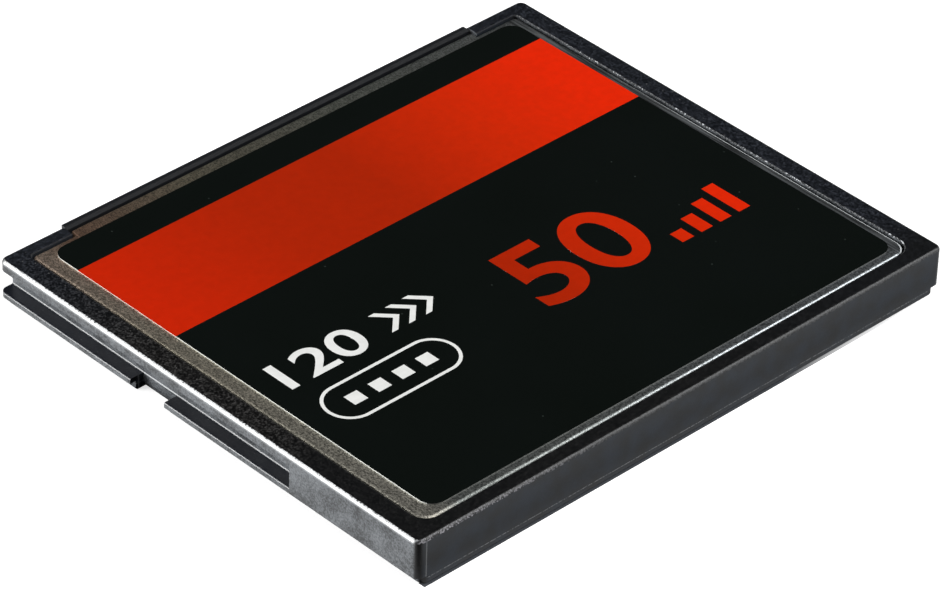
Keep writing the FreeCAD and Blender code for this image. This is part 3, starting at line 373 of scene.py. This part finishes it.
def painted_glints(tree, on, body):
    """Painted glints: tiny bright spots in stretches along the edge on the right of the cover's window."""
    right = add_node(tree, "ShaderNodeMath", {0: on.at["X"], 1: WINDOW_RIGHT_X}, operation="GREATER_THAN")
    inward = add_node(tree, "ShaderNodeMath", {0: on.towards["X"], 1: -0.4}, operation="LESS_THAN")
    strip = add_node(tree, "ShaderNodeMath", {0: right, 1: inward}, operation="MULTIPLY")
    strip = add_node(tree, "ShaderNodeMath", {0: strip, 1: on.high}, operation="MULTIPLY")
    strip = add_node(tree, "ShaderNodeMath", {0: strip, 1: on.edge}, operation="MULTIPLY")
    # Painted glints: bright spots in stretches along the edge.
    glints = add_node(tree, "ShaderNodeMapRange", {"Value": on.grain, "From Min": 0.54, "From Max": 0.62})
    stretch = add_node(tree, "ShaderNodeMapRange", {"Value": on.clouds, "From Min": 0.44, "From Max": 0.54})
    glints = add_node(tree, "ShaderNodeMath", {0: glints, 1: stretch}, operation="MULTIPLY")
    spark = add_node(tree, "ShaderNodeMath", {0: strip, 1: glints}, operation="MULTIPLY")
    return add_node(tree, "ShaderNodeMix", {"Factor": spark, "A": body, "B": linear("D8DCE0")},
                    data_type="RGBA")


def painted_side_highlights(tree, on, body):
    """A painted highlight line runs along the foot of each guide groove, and one along the top of the left
    rail.
    """
    foot = add_node(tree, "ShaderNodeMath", {0: on.at["Z"], 1: GROOVE_LINE_Z, 2: GROOVE_LINE_HALF_WIDTH},
                    operation="COMPARE")
    inside = add_node(tree, "ShaderNodeMath", {0: on.reach["X"], 1: GROOVE_LINE_WITHIN_X},
                      operation="LESS_THAN")
    foot = add_node(tree, "ShaderNodeMath", {0: foot, 1: inside}, operation="MULTIPLY")
    brow = add_node(tree, "ShaderNodeMath", {0: on.at["Z"], 1: RAIL_LINE_Z, 2: RAIL_LINE_HALF_WIDTH},
                    operation="COMPARE")
    rail = add_node(tree, "ShaderNodeMath", {0: on.at["Y"], 1: RAIL_LINE_BEYOND_Y},
                    operation="GREATER_THAN")
    brow = add_node(tree, "ShaderNodeMath", {0: brow, 1: rail}, operation="MULTIPLY")
    brow = add_node(tree, "ShaderNodeMath", {0: brow, 1: on.left}, operation="MULTIPLY")
    line = add_node(tree, "ShaderNodeMath", {0: foot, 1: brow}, operation="MAXIMUM")
    line = add_node(tree, "ShaderNodeMath", {0: line, 1: on.side}, operation="MULTIPLY")
    return add_node(tree, "ShaderNodeMix", {"Factor": line, "A": body, "B": linear("C8CACC")},
                    data_type="RGBA")


def frame_plastic():
    """Glass-filled polyester from a spark-eroded mould: near black and matt, with a fine grain and a few
    glass specks; the lighter sides, edge highlights and a few fine light lines are painted light."""
    material, tree, place = start_material("glass_filled_polyester")
    on = read_plastic(tree, place)
    colour = black_body(tree, on)
    for finish in (hazy_ends, painted_light_sides, painted_edge_highlights, painted_glints, painted_side_highlights):
        colour = finish(tree, on, colour)
    relief = add_node(tree, "ShaderNodeBump", {"Height": on.pits, "Distance": PLASTIC_DEPTH})
    sheen = add_node(tree, "ShaderNodeMapRange", {
        "Value": on.grain, "From Min": 0.3, "From Max": 0.7, "To Min": 0.28, "To Max": 0.42,
    })
    chafed = add_node(tree, "ShaderNodeMath", {0: on.edge, 1: on.facing["Y"]}, operation="MULTIPLY")
    chafed = add_node(tree, "ShaderNodeMath", {0: chafed, 1: 0.3, 2: sheen}, operation="MULTIPLY_ADD")
    matt = add_node(tree, "ShaderNodeMath", {0: on.sheltered, 1: 0.3, 2: chafed},
                    operation="MULTIPLY_ADD")
    return finish_material(material, {
        "Base Color": colour, "Roughness": matt, "Normal": relief, "IOR": 1.58,
    })


def steel_tint(tree, place, across):
    """Grey steel, tinted bronze near the far left corner, and lighter on the left strip: a painted
    reflection.
    """
    corner = add_node(tree, "ShaderNodeVectorMath", {0: place, 1: BRONZE_CORNER}, operation="DISTANCE")
    away = add_node(tree, "ShaderNodeMapRange", {"Value": corner, "From Max": BRONZE_REACH})
    tint = add_node(tree, "ShaderNodeValToRGB", {"Fac": away},
                    [(0.0, "C89A82"), (0.3, "B8B09A"), (0.6, "A8ACA2"), (1.0, "A0A5A8")])
    # A painted reflection: the left strip is mixed towards a pale warm white.
    left = add_node(tree, "ShaderNodeMapRange", {
        "Value": across, "From Min": LEFT_STRIP_X[0], "From Max": LEFT_STRIP_X[1], "To Max": 0.5,
    })
    return add_node(tree, "ShaderNodeMix", {"Factor": left, "A": tint, "B": linear("FFF6E4")},
                    data_type="RGBA")


def steel_pattern(tree, place, across):
    """A fine grain drawn out along the card, and streaks along the right strip."""
    rolled = add_node(tree, "ShaderNodeMapping", {"Vector": place, "Scale": (1, 0.45, 1)})
    grain = add_node(tree, "ShaderNodeTexNoise", {"Vector": rolled, "Scale": 1 / STEEL_GRAIN, "Detail": 3.0})
    drawn = add_node(tree, "ShaderNodeMapping", {"Vector": place, "Scale": (1, 0.04, 1)})
    streaks = add_node(tree, "ShaderNodeTexNoise", {"Vector": drawn, "Scale": 1 / STEEL_STREAKS,
                                                    "Detail": 1.0})
    right = add_node(tree, "ShaderNodeMapRange", {
        "Value": across, "From Min": RIGHT_STRIP_X[0], "From Max": RIGHT_STRIP_X[1], "To Max": 0.8,
    })
    return add_node(tree, "ShaderNodeMix", {"Factor": right, "A": grain, "B": streaks})


def crest_highlight(tree, along, towards):
    """Where a painted highlight lies on the crest of the top cover's right bend, as a light line."""
    rightward = add_node(tree, "ShaderNodeMath", {0: towards["X"], 1: 0.2}, operation="GREATER_THAN")
    shoulder = add_node(tree, "ShaderNodeMath", {0: towards["Z"], 1: 0.80, 2: 0.18}, operation="COMPARE")
    highlight_amount = add_node(tree, "ShaderNodeMapRange", {
        "Value": along, "From Min": CREST_Y[0], "From Max": CREST_Y[1], "To Max": 0.9,
    })
    crest = add_node(tree, "ShaderNodeMath", {0: rightward, 1: shoulder}, operation="MULTIPLY")
    return add_node(tree, "ShaderNodeMath", {0: crest, 1: highlight_amount}, operation="MULTIPLY")


def cover_steel():
    """Stainless steel rolled to a satin: a soft grey sheen with a fine grain. The die has burnished its
    bends, and the crest of the right one carries a painted highlight, a light line of pale matt colour."""
    material, tree, place = start_material("satin_stainless_steel")
    at = add_node(tree, "ShaderNodeSeparateXYZ", {"Vector": place}).outputs
    normal = add_node(tree, "ShaderNodeNewGeometry").outputs["Normal"]
    towards = add_node(tree, "ShaderNodeSeparateXYZ", {"Vector": normal}).outputs
    tint = steel_tint(tree, place, at["X"])
    pattern = steel_pattern(tree, place, at["X"])
    crest = crest_highlight(tree, at["Y"], towards)

    mottle = add_node(tree, "ShaderNodeValToRGB", {"Fac": pattern}, [(0.36, "909090"), (0.64, "FFFFFF")])
    colour = add_node(tree, "ShaderNodeMix", {"Factor": 1.0, "A": tint, "B": mottle},
                      data_type="RGBA", blend_type="MULTIPLY")
    # The painted highlight on the crest: pale colour in place of bare metal.
    colour = add_node(tree, "ShaderNodeMix", {"Factor": crest, "A": colour, "B": linear("E4E8EA")},
                      data_type="RGBA")
    metal = add_node(tree, "ShaderNodeMath", {0: 1.0, 1: crest}, operation="SUBTRACT")
    satin = add_node(tree, "ShaderNodeMapRange", {
        "Value": pattern, "From Min": 0.3, "From Max": 0.7, "To Min": 0.42, "To Max": 0.54,
    })
    level = add_node(tree, "ShaderNodeMath", {0: towards["Z"]}, operation="ABSOLUTE")
    flat = add_node(tree, "ShaderNodeMapRange", {"Value": level, "From Min": 0.94, "From Max": 0.99})
    burnished = add_node(tree, "ShaderNodeMapRange", {
        "Value": at["X"], "From Min": BURNISHED_X[0], "From Max": BURNISHED_X[1],
        "To Min": 0.6, "To Max": 0.3,
    })
    sheen = add_node(tree, "ShaderNodeMix", {"Factor": flat, "A": burnished, "B": satin})
    relief = add_node(tree, "ShaderNodeBump", {"Height": pattern, "Distance": STEEL_DEPTH})
    return finish_material(material, {
        "Base Color": colour, "Metallic": metal, "Roughness": sheen, "Normal": relief,
    })


def label_black():
    """Polyester label printed black under a clear gloss film: deep black with a trace of green, a few
    specks of dust, and a pale line where the film was cut, painted darker as shade where it faces back."""
    material, tree, place = start_material("gloss_label_black")
    clouds = add_node(tree, "ShaderNodeTexNoise", {"Vector": place, "Scale": 1 / LABEL_CLOUDS})
    face = add_node(tree, "ShaderNodeValToRGB", {"Fac": clouds}, [(0.3, "080D0A"), (0.7, "0A0F0D")])
    dust = add_node(tree, "ShaderNodeTexVoronoi", {"Vector": place, "Scale": 1 / LABEL_DUST})
    speck = add_node(tree, "ShaderNodeMapRange", {"Value": dust, "From Min": 0.040, "From Max": 0.015})
    dusty = add_node(tree, "ShaderNodeMix", {"Factor": speck, "A": face, "B": linear("333B37")},
                     data_type="RGBA")
    normal = add_node(tree, "ShaderNodeNewGeometry").outputs["Normal"]
    towards = add_node(tree, "ShaderNodeSeparateXYZ", {"Vector": normal}).outputs
    cut = add_node(tree, "ShaderNodeMapRange", {"Value": towards["Z"], "From Min": 0.6, "From Max": 0.3})
    backward = add_node(tree, "ShaderNodeMath", {0: towards["Y"], 1: -0.5}, operation="LESS_THAN")
    # Where the cut edge faces back, its pale core is painted a darker grey as shade.
    core = add_node(tree, "ShaderNodeMix", {
        "Factor": backward, "A": linear("D8DAD6"), "B": linear("5A5A58"),
    }, data_type="RGBA")
    colour = add_node(tree, "ShaderNodeMix", {"Factor": cut, "A": dusty, "B": core}, data_type="RGBA")
    waves = add_node(tree, "ShaderNodeTexNoise", {"Vector": place, "Scale": 1 / LABEL_WAVES})
    relief = add_node(tree, "ShaderNodeBump", {"Height": waves, "Distance": LABEL_DEPTH})
    return finish_material(material, {"Base Color": colour, "Roughness": 0.2, "Normal": relief, "IOR": 1.5})


def label_ink(name, stops):
    """Screen-printed ink under the same gloss film, coloured by a ramp across the label from left to right.
    """
    material, tree, place = start_material(name)
    across = add_node(tree, "ShaderNodeSeparateXYZ", {"Vector": place}).outputs["X"]
    share = add_node(tree, "ShaderNodeMapRange", {
        "Value": across, "From Min": INK_RAMP_X[0], "From Max": INK_RAMP_X[1],
    })
    colour_ramp = add_node(tree, "ShaderNodeValToRGB", {"Fac": share}, stops)
    clouds = add_node(tree, "ShaderNodeTexNoise", {"Vector": place, "Scale": 1 / INK_MOTTLE})
    mottle = add_node(tree, "ShaderNodeValToRGB", {"Fac": clouds}, [(0.3, "F6F6F6"), (0.7, "FFFFFF")])
    colour = add_node(tree, "ShaderNodeMix", {"Factor": 1.0, "A": colour_ramp, "B": mottle},
                      data_type="RGBA", blend_type="MULTIPLY")
    waves = add_node(tree, "ShaderNodeTexNoise", {"Vector": place, "Scale": 1 / LABEL_WAVES})
    relief = add_node(tree, "ShaderNodeBump", {"Height": waves, "Distance": LABEL_DEPTH})
    return finish_material(material, {
        "Base Color": colour, "Roughness": 0.26, "Normal": relief, "IOR": 1.5,
    })


def moulded(name, dark, light, roughness):
    """A moulded or fired body with a fine even grain, between a dark and a light shade."""
    material, tree, place = start_material(name)
    grain = add_node(tree, "ShaderNodeTexNoise", {"Vector": place, "Scale": 1 / MOULDED_GRAIN,
                                                  "Detail": 3.0})
    colour = add_node(tree, "ShaderNodeValToRGB", {"Fac": grain}, [(0.35, dark), (0.65, light)])
    sheen = add_node(tree, "ShaderNodeMapRange", {"Value": grain, "From Min": 0.3, "From Max": 0.7,
                                                  "To Min": roughness - 0.08, "To Max": roughness + 0.08})
    relief = add_node(tree, "ShaderNodeBump", {"Height": grain, "Distance": MOULDED_DEPTH})
    return finish_material(material, {
        "Base Color": colour, "Roughness": sheen, "Normal": relief, "IOR": 1.55,
    })


def plated(name, dark, light, roughness):
    """A plated metal, with soft patches of a darker shade along its length."""
    material, tree, place = start_material(name)
    drawn = add_node(tree, "ShaderNodeMapping", {"Vector": place, "Scale": (1, 0.4, 1)})
    patches = add_node(tree, "ShaderNodeTexNoise", {"Vector": drawn, "Scale": 1 / PLATED_PATCHES})
    colour = add_node(tree, "ShaderNodeValToRGB", {"Fac": patches}, [(0.3, dark), (0.7, light)])
    sheen = add_node(tree, "ShaderNodeMapRange", {"Value": patches, "From Min": 0.3, "From Max": 0.7,
                                                  "To Min": roughness - 0.06, "To Max": roughness + 0.08})
    pits = add_node(tree, "ShaderNodeTexNoise", {"Vector": place, "Scale": 1 / PLATED_PITS})
    relief = add_node(tree, "ShaderNodeBump", {"Height": pits, "Distance": PLATED_DEPTH})
    return finish_material(material, {
        "Base Color": colour, "Metallic": 1.0, "Roughness": sheen, "Normal": relief,
    })


def board_laminate():
    """Glass cloth laminate under green solder mask: glossy green over faint lines of copper, with the
    weave of the glass just showing."""
    material, tree, place = start_material("solder_mask_laminate")
    tracks = add_node(tree, "ShaderNodeTexBrick", {
        "Vector": place, "Scale": 1 / BOARD_TRACKS, "Color1": linear("0E4A2A"), "Color2": linear("124F2E"),
        "Mortar": linear("2C7A3F"), "Mortar Size": 0.05,
    })
    weave = add_node(tree, "ShaderNodeTexWave", {"Vector": place, "Scale": 1 / BOARD_WEAVE})
    relief = add_node(tree, "ShaderNodeBump", {"Height": weave.outputs["Fac"], "Distance": BOARD_DEPTH})
    return finish_material(material, {"Base Color": tracks, "Roughness": 0.3, "Normal": relief, "IOR": 1.5})


def insulating_film():
    """Amber polyimide film: glossy and slightly cloudy, with a faint waviness."""
    material, tree, place = start_material("polyimide_film")
    clouds = add_node(tree, "ShaderNodeTexNoise", {"Vector": place, "Scale": 1 / FILM_CLOUDS})
    colour = add_node(tree, "ShaderNodeValToRGB", {"Fac": clouds}, [(0.3, "A9691A"), (0.7, "C4802A")])
    relief = add_node(tree, "ShaderNodeBump", {"Height": clouds, "Distance": FILM_DEPTH})
    return finish_material(material, {"Base Color": colour, "Roughness": 0.25, "Normal": relief, "IOR": 1.6})


def dress(material, *nodes):
    """These nodes of the card take this one material."""
    for node in nodes:
        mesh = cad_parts[node].data
        mesh.materials.clear()
        mesh.materials.append(material)


def solid_digits(name, digits, boldness):
    """A mesh of the digits as closed solids, at the font's own size."""
    text = bpy.data.curves.new(name, "FONT")
    text.body = digits
    text.offset = boldness
    text.extrude = DRAWN_HALF_THICKNESS
    shown = bpy.data.objects.new(name + "_text", text)
    bpy.context.scene.collection.objects.link(shown)
    bpy.context.view_layer.update()
    mesh = bpy.data.meshes.new_from_object(shown.evaluated_get(bpy.context.evaluated_depsgraph_get()))
    bpy.data.objects.remove(shown)
    bpy.data.curves.remove(text)
    return mesh


def printed_number(name, digits, low, high, boldness, material):
    """Thin raised digits that fill a box on the label, from its low corner to its high one. A quarter of
    their thickness is sunk in the label, so that no gap shows beneath them."""
    mesh = solid_digits(name, digits, boldness)
    shape = bmesh.new()
    shape.from_mesh(mesh)
    bmesh.ops.remove_doubles(shape, verts=shape.verts, dist=SAME_POINT)
    bmesh.ops.recalc_face_normals(shape, faces=shape.faces)
    corners = [[f(v.co[axis] for v in shape.verts) for axis in range(3)] for f in (min, max)]
    drawn_low, drawn_size = Vector(corners[0]), Vector(corners[1]) - Vector(corners[0])
    place = Vector((low.x, low.y, LABEL_TOP - PRINT_THICKNESS / 4))
    size = Vector((high.x - low.x, high.y - low.y, PRINT_THICKNESS))
    bmesh.ops.translate(shape, verts=shape.verts, vec=-drawn_low)
    bmesh.ops.scale(shape, verts=shape.verts, vec=[size[i] / drawn_size[i] for i in range(3)])
    bmesh.ops.translate(shape, verts=shape.verts, vec=place)
    shape.to_mesh(mesh)
    shape.free()
    mesh.materials.clear()
    mesh.materials.append(material)
    number = bpy.data.objects.new(name, mesh)
    bpy.context.scene.collection.objects.link(number)
    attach(number, "root")


def floor_in_gloss(tree, at, reach):
    """How bright gloss mirrors the floor, seen from the camera: white behind and to the left of the card,
    dimmer on its right with a painted shadow close by, dark in front, and a painted shadow beneath the card."""
    distance = add_node(tree, "ShaderNodeMapRange", {
        "Value": at["Y"], "From Min": CARD_LOW.y, "From Max": CARD_LOW.y - MIRRORED_RIGHT_REACH,
    })
    beside = add_node(tree, "ShaderNodeValToRGB", {"Fac": distance}, MIRRORED_RIGHT)
    rightwards = add_node(tree, "ShaderNodeMapRange", {
        "Value": at["X"], "From Min": FRONT_TO_RIGHT[0], "From Max": FRONT_TO_RIGHT[1],
        "To Min": MIRRORED_FRONT, "To Max": beside,
    })
    behind = add_node(tree, "ShaderNodeMapRange", {
        "Value": at["Y"], "From Min": FRONT_TO_LEFT[0], "From Max": FRONT_TO_LEFT[1],
    })
    outside = add_node(tree, "ShaderNodeMix", {"Factor": behind, "A": rightwards, "B": MIRRORED_LEFT})
    # Beneath the card, gloss mirrors a painted shadow: the floor is black there.
    wide = add_node(tree, "ShaderNodeMath", {0: reach["X"], 1: CARD_HIGH.x}, operation="LESS_THAN")
    deep = add_node(tree, "ShaderNodeMath", {0: reach["Y"], 1: CARD_HIGH.y}, operation="LESS_THAN")
    beneath = add_node(tree, "ShaderNodeMath", {0: wide, 1: deep}, operation="MULTIPLY")
    return add_node(tree, "ShaderNodeMix", {"Factor": beneath, "A": outside, "B": 0.0})


def painted_contact_shadow(tree, at):
    """Where a contact shadow is painted on the floor, as a dark line beside the card's back edge."""
    started = add_node(tree, "ShaderNodeMath", {0: at["X"], 1: CONTACT_SHADOW_LEFT}, operation="GREATER_THAN")
    fading = add_node(tree, "ShaderNodeMapRange", {
        "Value": at["X"], "From Min": CONTACT_SHADOW_FADE[1], "From Max": CONTACT_SHADOW_FADE[0],
    })
    along = add_node(tree, "ShaderNodeMath", {0: started, 1: fading}, operation="MULTIPLY")
    contact_shadow = add_node(tree, "ShaderNodeMath", {0: at["Y"], 1: CONTACT_SHADOW_Y, 2: CONTACT_SHADOW_HALF_WIDTH},
                      operation="COMPARE")
    return add_node(tree, "ShaderNodeMath", {0: contact_shadow, 1: along}, operation="MULTIPLY")


def floor_material():
    """Pale matt paper. The camera sees it white with the card's soft shadow and a painted contact shadow,
    a dark line along the card's back edge, and gloss mirrors it as a studio around the card."""
    material, tree, place = start_material("pale_paper")
    at = add_node(tree, "ShaderNodeSeparateXYZ", {"Vector": place}).outputs
    folded = add_node(tree, "ShaderNodeVectorMath", {0: place}, operation="ABSOLUTE")
    reach = add_node(tree, "ShaderNodeSeparateXYZ", {"Vector": folded}).outputs
    mirrored = floor_in_gloss(tree, at, reach)
    contact_shadow = painted_contact_shadow(tree, at)

    rays = add_node(tree, "ShaderNodeLightPath").outputs
    in_gloss = add_node(tree, "ShaderNodeMath", {0: rays["Is Glossy Ray"], 1: rays["Is Transmission Ray"]},
                        operation="MAXIMUM")
    seen = add_node(tree, "ShaderNodeMath", {0: rays["Is Camera Ray"], 1: FLOOR_GLOW}, operation="MULTIPLY")
    # The painted contact shadow: no glow there, and a dark grey paper colour.
    seen = add_node(tree, "ShaderNodeMix", {"Factor": contact_shadow, "A": seen, "B": 0.0})
    shade = add_node(tree, "ShaderNodeMix", {
        "Factor": contact_shadow, "A": linear("E6E6E6"), "B": linear("505358"),
    }, data_type="RGBA")
    paper = add_node(tree, "ShaderNodeBsdfDiffuse", {"Color": shade})
    glow = add_node(tree, "ShaderNodeEmission", {"Strength": seen})
    lit = add_node(tree, "ShaderNodeAddShader", {0: paper, 1: glow})
    image = add_node(tree, "ShaderNodeEmission", {"Strength": mirrored})
    both = add_node(tree, "ShaderNodeMixShader", {0: in_gloss, 1: lit, 2: image})
    add_node(tree, "ShaderNodeOutputMaterial", {"Surface": both})
    return material


def lay_floor():
    """A wide sheet of the paper, a hair below the card."""
    shape = bmesh.new()
    bmesh.ops.create_grid(shape, x_segments=1, y_segments=1, size=FLOOR_HALF_WIDTH)
    bmesh.ops.translate(shape, verts=shape.verts, vec=(0, 0, -FLOOR_DROP))
    mesh = bpy.data.meshes.new("floor")
    shape.to_mesh(mesh)
    shape.free()
    mesh.materials.append(floor_material())
    floor = bpy.data.objects.new("floor", mesh)
    bpy.context.scene.collection.objects.link(floor)


def light_world():
    """A dim studio: pale near the horizon, dark higher up, and a little light from overhead."""
    world = bpy.data.worlds.new("studio")
    world.use_nodes = True
    tree = world.node_tree
    tree.nodes.clear()
    place = add_node(tree, "ShaderNodeTexCoord").outputs["Generated"]
    height = add_node(tree, "ShaderNodeSeparateXYZ", {"Vector": place}).outputs["Z"]
    shades = add_node(tree, "ShaderNodeValToRGB", {"Fac": height}, [
        (0.0, "F0F0F0"), (0.10, "B0B0B0"), (0.22, "262627"), (0.75, "262627"), (1.0, "A0A0A0"),
    ])
    studio = add_node(tree, "ShaderNodeBackground", {"Color": shades})
    add_node(tree, "ShaderNodeOutputWorld", {"Surface": studio})
    bpy.context.scene.world = world


def softbox(name, direction, distance, width, radiance):
    """A square lamp facing the card, which the camera itself doesn't see."""
    lamp = bpy.data.lights.new(name, "AREA")
    lamp.shape = "SQUARE"
    lamp.size = width
    lamp.energy = radiance * math.pi * width * width
    box = bpy.data.objects.new(name, lamp)
    box.matrix_world = (Matrix.Translation(direction.normalized() * distance)
                        @ direction.to_track_quat("Z", "Y").to_matrix().to_4x4())
    box.visible_camera = False
    bpy.context.scene.collection.objects.link(box)


def place_camera():
    """The photograph's camera: turned to its angle, rolled a little, and aimed near the card's middle."""
    azimuth, elevation, roll = (math.radians(a) for a in (CAMERA_AZIMUTH, CAMERA_ELEVATION, CAMERA_ROLL))
    back = Vector((math.sin(azimuth) * math.cos(elevation), -math.cos(azimuth) * math.cos(elevation),
                   math.sin(elevation)))
    level = Vector((0, 0, 1)).cross(back).normalized()
    right = level * math.cos(roll) + back.cross(level) * math.sin(roll)
    data = bpy.data.cameras.new("camera")
    data.sensor_width = SENSOR_WIDTH
    data.lens = SENSOR_WIDTH * FOCAL_LENGTH_IN_PIXELS / PICTURE_WIDTH_IN_PIXELS
    data.clip_start = CAMERA_CLIP_START
    camera = bpy.data.objects.new("camera", data)
    turned = Matrix((right, back.cross(right), back)).transposed().to_4x4()
    camera.matrix_world = Matrix.Translation(CAMERA_AIM + back * CAMERA_DISTANCE) @ turned
    bpy.context.scene.collection.objects.link(camera)
    bpy.context.scene.camera = camera


plastic = frame_plastic()
steel = cover_steel()
orange = label_ink("orange_ink", [
    (0.04, "CD2300"), (0.30, "B42300"), (0.52, "B02300"), (0.75, "D32800"), (0.96, "EE2700"),
])
white = label_ink("white_ink", [(0.0, "F2F3F0"), (1.0, "F2F3F0")])
tin = plated("tinned_copper", "9A9DA0", "C8CBCE", 0.32)
chip_mould = moulded("epoxy_mould_compound", "17181A", "232427", 0.55)

dress(plastic, "frame")
dress(steel, "top_cover", "bottom_cover")
dress(label_black(), "label_sheet")
dress(orange, "label_band", "label_orange_marks")
dress(white, "label_white_marks")
dress(moulded("liquid_crystal_polymer", "121316", "1B1D21", 0.38), "socket_strip")
dress(plated("gold_plated_bronze", "B98A36", "E2B45A", 0.22), "contacts_upper_row", "contacts_lower_row")
dress(board_laminate(), "circuit_board")
dress(insulating_film(), "insulating_film")
dress(chip_mould, "flash_chip_upper", "flash_chip_lower", "controller_chip", "voltage_regulator")
dress(tin, "flash_chip_upper_leads", "flash_chip_lower_leads", "controller_leads", "regulator_leads",
      "capacitor_terminals", "resistor_terminals", "tantalum_straps")
dress(moulded("capacitor_ceramic", "8E7350", "A98D68", 0.5), "capacitor_bodies")
dress(moulded("resistor_glaze", "101113", "1C1D20", 0.25), "resistor_bodies")
dress(moulded("oscillator_ceramic", "6A625A", "7D756C", 0.6), "oscillator_base")
dress(plated("nickel_plated_lid", "9C9A94", "C2C0BA", 0.28), "oscillator_lid")
dress(moulded("tantalum_mould", "C98A24", "DDA03A", 0.45), "tantalum_bodies")

printed_number("label_big_number", BIG_NUMBER, BIG_NUMBER_LOW, BIG_NUMBER_HIGH,
               BIG_NUMBER_BOLDNESS, orange)
printed_number("label_small_number", SMALL_NUMBER, SMALL_NUMBER_LOW, SMALL_NUMBER_HIGH,
               SMALL_NUMBER_BOLDNESS, white)

lay_floor()
light_world()
softbox("low_softbox", LOW_DIRECTION, LOW_DISTANCE, LOW_WIDTH, LOW_RADIANCE)
softbox("main_softbox", MAIN_DIRECTION, MAIN_DISTANCE, MAIN_WIDTH, MAIN_RADIANCE)
place_camera()
bpy.context.scene.view_settings.view_transform = "Standard"
